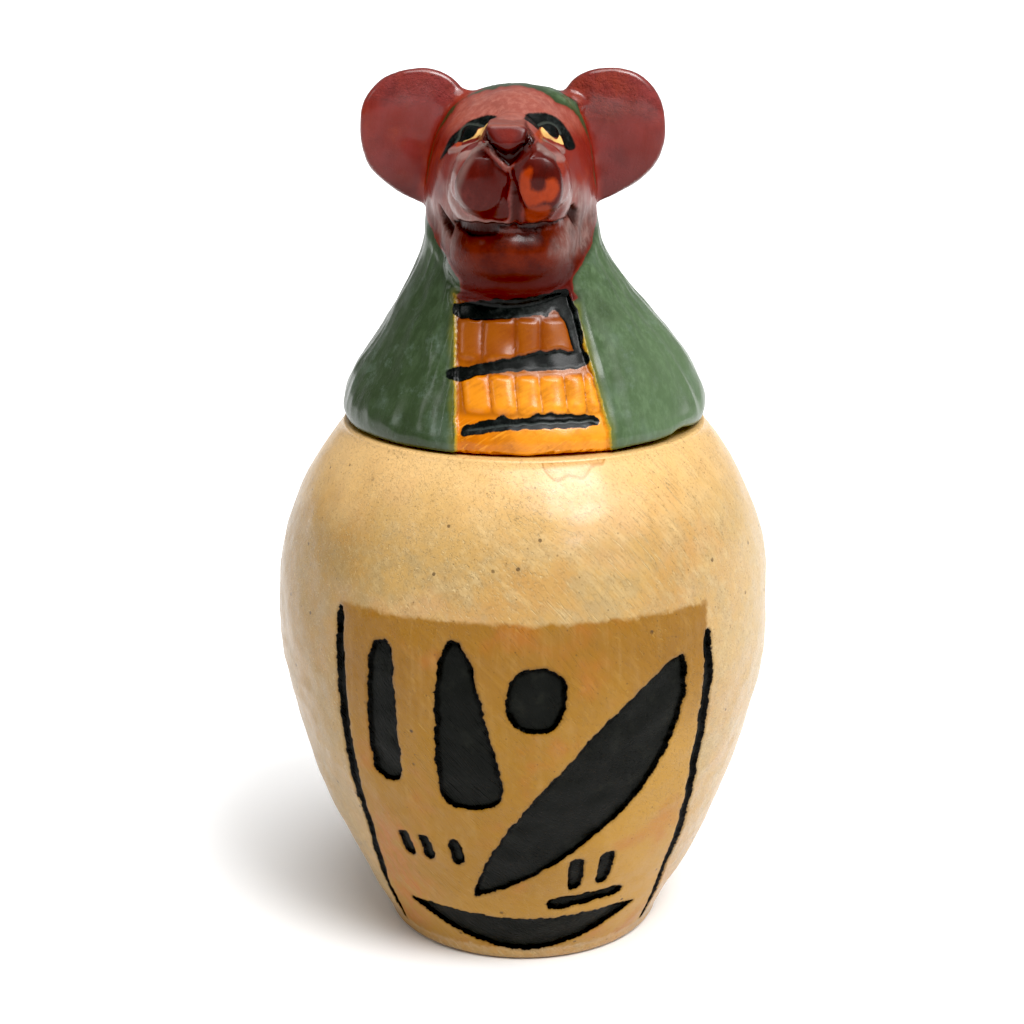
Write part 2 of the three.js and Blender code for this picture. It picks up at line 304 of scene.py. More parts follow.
def panelOutline():
    v = panelValues
    corners = borderLine(-1, 1) + borderLine(1, 1)[::-1]
    corners[0] = (corners[0][0], v["stainTop"])
    corners[-1] = (corners[-1][0], v["stainTop"])
    return np.array(onPanel(corners))


def makeJar():
    v = jarValues
    section = jarSection()
    deselectAll()
    bpy.ops.mesh.primitive_circle_add(vertices=len(section), radius=0.02)
    jar = bpy.context.object
    jar.name = "paintedJar"
    # Spin turns clockwise seen from above, so the fine columns start at the jar's right
    start = math.radians(v["fineAngle"] / 2)
    places = np.column_stack([
        section[:, 0] * math.sin(start),
        -section[:, 0] * math.cos(start),
        section[:, 1],
    ])
    movePoints(jar, places)
    # The circle's last edge would run along the jar's axis, so it goes before the line is spun
    last = len(section) - 1
    editEdges(jar, lambda ends: {end.index for end in ends} == {0, last})
    bpy.ops.mesh.delete(type="EDGE")
    bpy.ops.mesh.select_all(action="SELECT")
    front = math.radians(v["fineAngle"])
    for steps, angle in ((v["fineColumns"], front), (v["backColumns"], 2 * math.pi - front)):
        bpy.ops.mesh.spin(steps=steps, angle=angle, center=(0, 0, 0), axis=(0, 0, 1))
    bpy.ops.mesh.select_all(action="SELECT")
    bpy.ops.mesh.remove_doubles(threshold=0.00002)
    finishEdit()
    carveJar(jar)
    makeActive(jar)
    bpy.ops.object.shade_smooth()
    return jar


def carveJar(jar):
    v = jarValues
    places = pointsOf(jar)
    height = places[:, 2]
    radius = np.hypot(places[:, 0], places[:, 1])
    bearing = np.arctan2(places[:, 0], -places[:, 1])
    outside = (radius > jarRadius(height) - 0.3) & (height > 0.4) & (height < v["height"] - 0.2)
    flat = np.column_stack([bearing * v["bellyRadius"], height])
    p = panelValues
    near = outside & (np.abs(bearing) < math.radians(p["nearAngle"])) & (height < p["top"] + 3)
    some = flat[near]
    wander = np.column_stack([waves(some, 3, 11), waves(some, 3, 12)])
    wander += 0.8 * np.column_stack([waves(some, 0.95, 13), waves(some, 0.95, 14)])
    drawn = some + p["raggedness"] * wander
    ink = np.full(len(some), 9.0)
    borders = [
        (borderLine(side, top), p["borderHalfWidths"], 0, 16) for side, top in p["borderTops"].items()
    ]
    for stroke in strokes + borders:
        ink = np.minimum(ink, outlineDistance(drawn, strokeOutline(*stroke)))
    panel = outlineDistance(some + 0.15 * wander, panelOutline())
    inkEdge = np.full(len(places), 4.0)
    inkEdge[near] = np.clip(ink, -4, 4)
    panelEdge = np.full(len(places), 6.0)
    panelEdge[near] = np.clip(panel, -6, 6)
    drip = np.array([(math.radians(a) * v["bellyRadius"], z) for a, z in dripOutline])
    dripEdge = np.where(outside, outlineDistance(flat + 0.3 * waves(flat, 4, 19)[:, None], drip), 9)
    depth = np.zeros(len(places))
    floor = p["carvingDepth"] * (1 + 0.1 * waves(some, 5, 15))
    depth[near] = floor * ease(-ink, *p["carvingWall"])
    fade = ease(height, 0.5, 5) * (1 - ease(height, v["height"] - 4, v["height"] - 0.5))
    swell = v["unevenness"] * (waves(places, 17, 16) + 0.35 * waves(places, 5, 17)) * fade
    # The jar was shaped with long flat tool strokes, which leave faint facets
    facet = v["facetDepth"] * np.abs(waves(places, 9, 18)) * fade
    inward = np.where(outside, depth - swell + facet, 0)
    direction = places[:, :2] / np.maximum(radius, 1e-6)[:, None]
    places[:, :2] -= direction * inward[:, None]
    movePoints(jar, places)
    addMeasure(jar, "inkEdge", inkEdge)
    addMeasure(jar, "panelEdge", panelEdge)
    addMeasure(jar, "dripEdge", np.clip(dripEdge, -6, 6))


# The lid

lidValues = {
    "base": 79.9,           # height of its underside over the jar's foot
    "radius": 27.0,
    "faceAxis": -1.95,      # the head looks a little to one side of the jar's middle
    "wigPoints": 64,
    "wigRows": 40,
    "tenonRadius": 16.7,
    "tenonDepth": 5.0,
    "tenonOverlap": 1.5,    # how far it runs up into the lid
    "tenonBevel": 0.8,
    "voxel": 0.48,
    "smoothing": 7,
    # The lower edge stays crisp: from one rise to another, the share of the smoothing it gets
    "smoothedRises": ((-9, 1, 0.3), (1, 1.6, 0.5), (1.6, 2.4, 0.75), (2.4, 99, 1.0)),
    "blend": 1.3,           # how softly the head's forms flow together
    "eyeReach": -14.6,      # the eyes' paint stops where the face comes further forward
    "lobeFront": -22.6,     # beyond here the muzzle's lobes are flattened
    "lobeFlatness": 0.6,
    "unevenness": 0.15,
    "edgeLift": 0.75,       # the lid's edge lifts a little at the right, over a dark gap
    "liftBearing": 58.0,    # degrees round from the front
    "liftWidth": 8.0,
}

# How deep each detail of the lid is cut, or how far it stands out
reliefValues = {
    "collar": 0.5,
    "bar": 0.12,
    "barScratch": 0.15,
    "flute": 0.5,
    "noseFacet": 0.9,
    "noseRim": 0.25,
    "mouthLine": 0.4,
    "mouthDark": 0.35,
    "mouthCorner": 0.8,
    "philtrum": 0.55,
    "lobeEdge": 0.3,
    "eye": 0.3,
    "iris": 0.45,
    "lidCrease": 0.18,
    "lidRidge": 0.25,
    "wigEdge": 0.12,
    "earCrease": 0.25,
    "rasp": 0.16,
}

# Oval sections of the wig: height over the underside, then half width, reach to the front and reach to
# the back as shares of the lid's radius, and how far the middle is shifted
wigSections = [
    (0, 0.98, 0.955, 0.985, 0),
    (1, 1, 0.965, 1, 0),
    (3.2, 1, 0.935, 1, 0),
    (6.6, 0.95, 0.865, 0.965, 0.1),
    (11, 0.85, 0.785, 0.89, 0.1),
    (15, 0.74, 0.71, 0.815, -0.4),
    (18, 0.65, 0.66, 0.755, -0.8),
    (21, 0.582, 0.61, 0.7, -1.1),
    (24.5, 0.51, 0.53, 0.65, -1.6),
    (29, 0.462, 0.44, 0.61, -1.9),
    (34, 0.46, 0.38, 0.575, -1.9),
    (39, 0.435, 0.33, 0.535, -1.9),
    (43, 0.385, 0.29, 0.46, -1.7),
    (46.2, 0.3, 0.24, 0.35, -1.4),
    (47.8, 0.2, 0.17, 0.23, -1.1),
    (48.4, 0.09, 0.08, 0.1, -1),
]

# The head's forms, each an egg: its middle from the face's own middle, and its half sizes
headBlobs = {
    "skull": ((0, -3, 34.6), (11.7, 12, 13.3)),
    "jaw": ((0, -7, 27.5), (10, 10.4, 8.6)),
    "throat": ((0, -9.8, 24.2), (9.3, 9.4, 6.2)),
    "muzzle": ((0, -13, 35), (8.8, 8.6, 7.6)),
    "noseBridge": ((0, -12, 40.8), (4.6, 11.2, 4.6)),
    "noseRoot": ((0, -17, 39.6), (5, 6.6, 4.6)),
    "leftLobe": ((-4, -17.6, 36.9), (4.3, 7, 5.2)),
    "rightLobe": ((4, -17.6, 36.9), (4.3, 7, 5.2)),
    "chin": ((0, -12.4, 26.8), (8.5, 8.3, 6.2)),
}

earValues = {
    "across": 8.2,
    "tall": 10.1,
    "thick": 1.8,
    "dish": 0.8,
    "lean": 19.0,
    "back": 1.6,
    "out": {-1: 13.5, 1: 13.9},     # the left ear and the right ear
    "rise": {-1: 40.35, 1: 40.7},
    "fullness": {-1: 0.38, 1: 0.2},     # how far the top spreads towards the head
    "taper": 0.45,      # how much of the outer side is cut away towards the bottom
    "taperCurve": 1.75,
    "innerTaper": 0.12,
    "paintReach": 1.06,     # how far its paint runs out, as a share of the ear
    "paintDepth": 1.7,      # and how far forward and back on the head beside it
}

# The nose's plate: where its front stands, how far its top and tip lean back, its depth and its bevel
noseValues = {
    "front": -24.2,
    "topLean": 1.4,
    "tipLean": 1.6,
    "depth": 9.0,
    "bevel": 0.3,
}

# Red paint that runs from the left ear onto the hood: an oval, and the depth it lies at
rootPaint = {
    "middle": (-9.6, 45.8),
    "halfSizes": (4.6, 3.2),
    "depth": 1.2,
    "halfDepth": 2.4,
}

# Where the face's red ends on top of the head: across, and how far behind the jar's axis
hoodEdge = [
    (-11, 1.9), (-8.2, 0.3), (-6.3, -0.3), (-3.4, -0.9), (-0.6, -0.9), (2.2, -0.5), (5.1, 0.3), (7.9, 1.9),
]

# Outlines and lines on the lid as seen from the front: across, and height over its underside
faceOutline = [
    (-8.4, 19.7), (-8.8, 21.2), (-9.2, 23.1), (-10.6, 24.9), (-12.3, 26.6), (-13.6, 29), (-14.4, 31),
    (-14.6, 33), (-14.1, 35), (-13.2, 39.6), (-12.4, 41.8), (-11.4, 43.1), (-10.2, 44.9), (-9, 46.3),
    (-7.7, 47), (-5.2, 47.7), (-2.1, 48.1), (0.9, 47.9), (3.4, 46.9), (4.9, 45.8), (6.2, 45.4), (7.7, 43.7),
    (9, 41.2), (9.7, 38.4), (10.2, 34.7), (10.5, 31.6), (9.6, 26.9), (8.3, 24.4), (6.9, 22.5), (7, 21.1),
    (6.5, 19.7),
]
collarOutline = [(-9.4, -2), (12.3, -2), (11.9, 3), (6.4, 21), (-9.7, 20.4)]
bars = [
    [(-9.8, 19.4), (-4.5, 20.1), (2.3, 20.9), (6.5, 20.8), (8.5, 13.2), (7, 13.5), (6.6, 15), (6, 16.6),
     (4.7, 18.9), (3.8, 18.6), (3.2, 18), (2.6, 18.4), (1.9, 18.3), (-1.3, 17.9), (-4, 17.7), (-7, 17.5),
     (-9.8, 17.8)],
    [(-10.9, 10.4), (-9.6, 11.1), (-5.3, 12.1), (-0.6, 13.2), (3.5, 13.7), (8.5, 13.4), (8.6, 11.4),
     (2.6, 11.3), (-2.1, 11), (-6.2, 10.4), (-8.5, 9.5), (-10.4, 9.6)],
    [(-8.4, 3.9), (-6.1, 4.6), (-4.5, 5), (-2.9, 5.4), (-1.6, 5.2), (-0.2, 5.1), (1.2, 5.5), (4.2, 5.7),
     (9.6, 5.2), (10.7, 4.6), (10, 3.9), (7, 3.7), (2.6, 3.8), (-3.8, 3.4), (-8.6, 2.6)],
]
# The lighter line scratched along the lowest bar
barLine = [(-7.8, 3.5), (-3, 4.2), (2.6, 4.6), (9.8, 4.5)]
# Rows of upright flutes: where they meet, how far up they run, and how they lean
fluteRows = [
    {"edges": (-9.6, -6, -1.3, 2.3, 6.9), "low": 11.8, "high": 18.2, "slant": 0},
    {"edges": (-8.6, -4.7, -1.1, 2.4, 5.9, 8.6, 10.8), "low": 5.2, "high": 10.9, "slant": -0.12},
]
eyeBlack = [
    [(-11.9, 38.6), (-11.2, 39.9), (-10.4, 41.5), (-9.3, 42.7), (-8.3, 43.6), (-7.3, 44.3), (-6.3, 44.7),
     (-5.2, 45), (-4.2, 44.95), (-3.8, 44.8), (-4.4, 44.5), (-5.1, 44.1), (-5.6, 43.6), (-6.4, 43.3),
     (-7.2, 42.1), (-8.3, 41.4), (-9, 41.3), (-9.6, 41.2), (-10.2, 40.4), (-11, 39.5)],
    [(0, 44.7), (0.4, 44.95), (1.2, 45), (2.3, 45), (3.4, 44.8), (4.5, 44.3), (5.4, 43.5), (6.3, 42.4),
     (6.9, 41.3), (7.2, 40.3), (6.5, 40.1), (5.8, 40.4), (5.5, 41.1), (5.2, 41.9), (4.6, 41.8), (3.7, 42.1),
     (3, 42.6), (2.4, 43.2), (1.6, 43.3), (1.2, 43.3), (0.7, 43.9)],
]
eyeCream = [
    [(-6.7, 42.5), (-6.4, 43.1), (-5.9, 43.4), (-5, 44.2), (-5.1, 43.7), (-5.8, 42.8), (-6.7, 42.2),
     (-7.2, 41.9), (-8.3, 41.4), (-8.7, 41.3), (-8, 41.7), (-7.2, 42.2)],
    [(2.3, 43.2), (2.8, 42.7), (3.5, 42.1), (4.4, 41.6), (4.8, 42), (4.9, 42.3), (5.2, 41.7), (5.5, 40.9),
     (4.7, 41.2), (3.7, 41.7), (2.9, 42.1), (2.1, 42.9)],
]
eyeCorners = [
    [(-9.6, 41.2), (-8.6, 41.3), (-8.2, 41.1), (-9.4, 40.5)],
    [(1.4, 43.1), (2.2, 43.3), (2.9, 42.1), (2.2, 42.2)],
]
# Each iris is a tilted oval: middle, half length and half width, and its tilt in degrees
irises = [((-7.85, 42.65), (1.45, 0.95), 35), ((3.9, 42.8), (1.25, 0.85), -38)]
lidCreases = [
    [(-9.6, 41.2), (-9.3, 42.1), (-8.5, 43.3), (-7, 43.9), (-5.8, 43.7)],
    [(1.9, 43.6), (2.7, 43.9), (3.6, 43.9), (4.6, 43.3), (5.2, 42.5)],
]
lowerLids = [[(-8.6, 41), (-7.2, 41.65), (-5.7, 42.7)]]
lidRidges = [[(-10.3, 40), (-8.3, 40.6), (-5.6, 42.2)], [(2, 41.8), (3.6, 40.9), (5.3, 40.1)]]
lobes = [
    [(-9.6, 36.3), (-8.9, 38.5), (-7.9, 40.2), (-6.9, 41.3), (-6.1, 41.6), (-4.1, 40.2), (-2.7, 38.5),
     (-2, 37.9), (-2.3, 35.3), (-2.3, 32), (-4.1, 31.7), (-6.5, 32), (-8.4, 32.5), (-9.4, 34.1)],
    [(-1.6, 38.3), (-1, 40.1), (0.1, 41.7), (1.9, 42.1), (3.9, 40.9), (5, 38.8), (5.4, 36.8), (5, 34.4),
     (4.2, 32.2), (2.9, 31.4), (0.5, 31.4), (0.1, 32), (-0.5, 35), (-1.3, 36.4)],
]
noseOutline = [(-4.9, 44.9), (0.1, 44.8), (1.6, 42.6), (-2.05, 39.3), (-5.8, 42.4)]
noseFacet = [(-4.7, 44.9), (0.1, 44.8), (-0.2, 43.8), (-0.7, 42.9), (-1.9, 41.9), (-3, 42.2), (-4.1, 43.4)]
philtrum = [(-2, 39.4), (-1.7, 37.6), (-1.3, 35), (-1.2, 31.2)]
philtrumStripe = [(-2, 38.1), (-1.3, 36.7), (-0.4, 35.1), (-0.1, 31.2), (-2.1, 31.2), (-1.9, 35)]
mouthLine = [(-9.9, 30.6), (-8, 30.9), (-6, 31), (-1.9, 30.9), (2.1, 30.8), (5.1, 30.9), (6, 31.1)]
mouthNotches = [
    [(-12.1, 32.3), (-11.1, 30.9), (-9.8, 29.9), (-10.3, 28.4), (-11.4, 29.7)],
    [(5.8, 31.9), (7, 32.7), (7.6, 31.6), (7.3, 29.4), (6.6, 30.6)],
]
mouthDark = [
    [(-9.9, 30.7), (-6.5, 31), (-3.8, 31), (-1.6, 30.9), (-3.2, 30.3), (-3.7, 29.7), (-5.7, 29.3),
     (-7.6, 29.3), (-9.2, 29.7)],
    [(-1.6, 30.9), (0.5, 30.8), (2.9, 30.8), (5.3, 31), (2.8, 30.1), (1, 30), (-0.4, 30.3)],
]
orangePatch = [
    (-0.1, 38.8), (1.1, 39), (0.8, 37.9), (0.9, 36.5), (1.8, 36), (2.8, 36.7), (3, 37.5), (3.8, 37.8),
    (4.6, 36.9), (4.2, 35.2), (2.8, 34.7), (0.5, 34.1), (-0.3, 35.4), (-0.6, 36.6),
]
lowPatch = [(0.1, 33.7), (3.3, 34.2), (2.9, 31.8), (1.5, 31.1), (0.2, 32)]
cheekSheen = [
    [(-14, 32.3), (-12.1, 33), (-11.2, 35), (-9.7, 34.3), (-8.4, 32.2), (-3.8, 31.3), (-9, 30.2),
     (-9.8, 27.4), (-12.5, 28.4), (-14, 30.8)],
    [(5.3, 36.8), (8, 34.7), (10.2, 31.4), (10, 28.1), (7.6, 25.6), (3.7, 27), (5, 29.7), (5.3, 32.1)],
]
# Small forms that join the ears to the hood: middle and half sizes, measured from the jar's own axis
earRoots = [((-9.2, 1.3, 45.2), (4.2, 1.7, 2.5)), ((5.6, 0.9, 45.3), (3.6, 2.3, 2.1))]


def wigSection(heights):
    table = np.array(wigSections, dtype=float)
    shares = np.linspace(0, 1, 600)
    fine = smoothLine(table, shares)
    return [np.interp(heights, fine[:, 0], fine[:, column]) for column in (1, 2, 3, 4)]


# A filled ring is pulled up row by row, each row resized to the wig's width and depth there
def makeWig():
    v = lidValues
    top = wigSections[-1][0]
    heights = top * (1 - (1 - np.linspace(0, 1, v["wigRows"])) ** 1.15)
    side, front, back, shift = wigSection(heights)
    deselectAll()
    bpy.ops.mesh.primitive_circle_add(vertices=v["wigPoints"], radius=mm, fill_type="NGON")
    wig = bpy.context.object
    startEdit(wig)
    size = np.array([1.0, 1.0])
    middle = 0
    for row in range(v["wigRows"]):
        if row:
            step = (0, 0, (heights[row] - heights[row - 1]) * mm)
            bpy.ops.mesh.extrude_region_move(TRANSFORM_OT_translate={"value": step})
        wanted = np.array([side[row], back[row]]) * v["radius"]
        ratio = wanted / size
        centre = (middle * mm, 0, heights[row] * mm)
        bpy.ops.transform.resize(value=(ratio[0], ratio[1], 1), center_override=centre)
        bpy.ops.transform.translate(value=((shift[row] - middle) * mm, 0, 0))
        size = wanted
        middle = shift[row]
    finishEdit()
    # The front half is flatter than the back half
    places = pointsOf(wig)
    _, frontReach, backReach, _ = wigSection(places[:, 2])
    places[:, 1] *= np.where(places[:, 1] < 0, frontReach / backReach, 1)
    places[:, 2] += v["base"]
    movePoints(wig, places)
    # The lower edge is creased, so that rounding the rest leaves it sharp
    editEdges(wig, lambda ends: all(end.co.z < (v["base"] + 0.01) * mm for end in ends))
    bpy.ops.transform.edge_crease(value=1)
    bpy.ops.object.mode_set(mode="OBJECT")
    subdivided(wig, 2)
    return wig


def subdivided(piece, levels):
    makeActive(piece)
    rounding = piece.modifiers.new("rounding", "SUBSURF")
    rounding.levels = rounding.render_levels = levels
    bpy.ops.object.modifier_apply(modifier="rounding")


def makeBlob(middle, size):
    spot = (middle[0] * mm, middle[1] * mm, (lidValues["base"] + middle[2]) * mm)
    deselectAll()
    bpy.ops.mesh.primitive_uv_sphere_add(segments=64, ring_count=32, radius=mm, location=spot)
    blob = bpy.context.object
    startEdit(blob)
    bpy.ops.transform.resize(value=size, center_override=spot)
    bpy.ops.object.mode_set(mode="OBJECT")
    subdivided(blob, 1)
    return blob


def makeEar(side):
    e = earValues
    v = lidValues
    deselectAll()
    bpy.ops.mesh.primitive_uv_sphere_add(segments=72, ring_count=36, radius=mm)
    ear = bpy.context.object
    x, y, z = pointsOf(ear).T
    lean = math.radians(e["lean"])
    dish = np.where(z > 0, e["dish"] * (1 - np.minimum(1, np.hypot(x, y))), 0)
    low = np.maximum(0, -y)
    outer = side * x > 0
    inner = 1 - e["innerTaper"] * low + e["fullness"][side] * np.maximum(0, y)
    spread = np.where(outer, 1 - e["taper"] * low ** e["taperCurve"], inner)
    u = side * x * e["across"] * spread
    w = y * e["tall"]
    out = u * math.cos(lean) + w * math.sin(lean)
    rise = w * math.cos(lean) - u * math.sin(lean)
    deep = e["back"] - np.sign(z) * np.sqrt(np.abs(z)) * e["thick"] + dish
    across = v["faceAxis"] + side * (e["out"][side] + out)
    places = np.column_stack([across, deep, v["base"] + e["rise"][side] + rise])
    movePoints(ear, places)
    startEdit(ear)
    finishEdit()
    return ear


# The nose is a five-cornered plate pulled back into the muzzle and bevelled
def makeNose():
    n = noseValues
    deselectAll()
    bpy.ops.mesh.primitive_circle_add(vertices=5, radius=mm, fill_type="NGON")
    nose = bpy.context.object
    places = np.array([(x, n["front"], lidValues["base"] + rise) for x, rise in noseOutline])
    places[0:2, 1] += n["topLean"]
    places[3, 1] += n["tipLean"]
    movePoints(nose, places)
    startEdit(nose)
    bpy.ops.mesh.extrude_region_move(TRANSFORM_OT_translate={"value": (0, n["depth"] * mm, 0)})
    bpy.ops.mesh.select_all(action="SELECT")
    bpy.ops.mesh.normals_make_consistent(inside=False)
    bpy.ops.mesh.bevel(offset=n["bevel"] * mm, segments=2)
    bpy.ops.object.mode_set(mode="OBJECT")
    return nose


def makeTenon():
    v = lidValues
    depth = v["tenonDepth"] + v["tenonOverlap"]
    middle = (v["base"] - v["tenonDepth"] + depth / 2) * mm
    deselectAll()
    bpy.ops.mesh.primitive_cylinder_add(vertices=96, radius=v["tenonRadius"] * mm, depth=depth * mm,
                                        location=(0, 0, middle))
    tenon = bpy.context.object
    editEdges(tenon, lambda ends: all(end.co.z < 0 for end in ends))
    bpy.ops.mesh.bevel(offset=v["tenonBevel"] * mm, segments=3)
    bpy.ops.object.mode_set(mode="OBJECT")
    return tenon


# How far points lie outside the head's forms, which are blended where they meet
def faceDistance(places):
    v = lidValues
    blend = v["blend"]
    local = places - np.array([v["faceAxis"], 0, v["base"]])
    total = np.full(len(places), 99.0)
    for middle, size in headBlobs.values():
        offset = local - np.array(middle)
        scaled = np.linalg.norm(offset / size, axis=1)
        slope = np.linalg.norm(offset / np.square(size), axis=1)
        gap = scaled * (scaled - 1) / np.maximum(slope, 1e-6)
        near = np.maximum(0, 1 - np.abs(total - gap) / blend)
        total = np.minimum(total, gap) - near * near * blend / 4
    return total


def earDistance(places, side):
    e = earValues
    v = lidValues
    lean = math.radians(e["lean"])
    out = side * (places[:, 0] - v["faceAxis"]) - e["out"][side]
    rise = places[:, 2] - v["base"] - e["rise"][side]
    u = out * math.cos(lean) - rise * math.sin(lean)
    w = out * math.sin(lean) + rise * math.cos(lean)
    tall = w / e["tall"]
    reach = e["across"] * np.where(u < 0, 1 + e["fullness"][side] * np.maximum(0, tall), 1)
    around = np.hypot(u / reach, tall)
    # Where the ear meets the head its paint ends in an oval
    half = 1 + e["paintDepth"] * np.sqrt(np.maximum(0, 1 - tall ** 2))
    return np.maximum((around - e["paintReach"]) * 9, np.abs(places[:, 1] - e["back"]) - half)


def makeLid():
    v = lidValues
    parts = [makeWig()]
    for (x, y, z), size in headBlobs.values():
        parts.append(makeBlob((v["faceAxis"] + x, y, z), size))
    parts += [makeBlob(*root) for root in earRoots]
    parts += [makeEar(-1), makeEar(1), makeNose(), makeTenon()]
    deselectAll()
    for part in parts:
        part.select_set(True)
    bpy.context.view_layer.objects.active = parts[0]
    bpy.ops.object.join()
    lid = bpy.context.object
    lid.name = "paintedHead"
    bpy.ops.object.transform_apply(location=True, rotation=True, scale=True)
    lid.data.remesh_voxel_size = v["voxel"] * mm
    bpy.ops.object.voxel_remesh()
    rise = pointsOf(lid)[:, 2] - v["base"]
    evened = lid.vertex_groups.new(name="evened")
    for low, high, weight in v["smoothedRises"]:
        evened.add(np.flatnonzero((rise >= low) & (rise < high)).tolist(), weight, "REPLACE")
    smoothing = lid.modifiers.new("smoothing", "SMOOTH")
    smoothing.vertex_group = "evened"
    smoothing.factor = 0.5
    smoothing.iterations = v["smoothing"]
    bpy.ops.object.modifier_apply(modifier="smoothing")
    print("lid remeshed:", len(lid.data.polygons), "faces")
    refineFront(lid)
    carveLid(lid)
    makeActive(lid)
    bpy.ops.object.shade_smooth()
    return lid


# The face and collar get twice as many faces each way as the rest
def refineFront(lid):
    v = lidValues
    makeActive(lid)
    middles = readVectors(lid.data.polygons, "center") / mm
    ways = readVectors(lid.data.polygons, "normal")
    across = middles[:, 0]
    deep = middles[:, 1]
    rise = middles[:, 2] - v["base"]
    face = (deep < -6) & (rise > 22) & (rise < 47)
    collar = (deep < -4) & (across > -11.5) & (across < 13) & (rise > 1.5) & (rise < 22)
    wanted = (face | collar) & (ways[:, 1] < -0.05)
    for items in (lid.data.vertices, lid.data.edges):
        items.foreach_set("select", np.zeros(len(items), dtype=bool))
    lid.data.polygons.foreach_set("select", wanted)
    bpy.context.tool_settings.mesh_select_mode = (False, False, True)
    bpy.ops.object.mode_set(mode="EDIT")
    bpy.ops.mesh.subdivide(number_cuts=1)
    bpy.ops.mesh.vertices_smooth(factor=0.5, repeat=4)
    bpy.ops.object.mode_set(mode="OBJECT")


def fluteRelief(flat):
    relief = np.zeros(len(flat))
    for row in fluteRows:
        low = row["low"]
        high = row["high"]
        x = flat[:, 0] - row["slant"] * (flat[:, 1] - (low + high) / 2)
        ends = ease(flat[:, 1], low - 0.1, low + 1.4) * (1 - ease(flat[:, 1], high - 1.2, high))
        for start, end in zip(row["edges"][:-1], row["edges"][1:]):
            across = np.clip(np.abs(2 * (x - start) / (end - start) - 1), 0, 1)
            relief = np.maximum(relief, np.where(across < 1, (1 - across ** 2.4) ** 0.7 * ends, 0))
    return relief


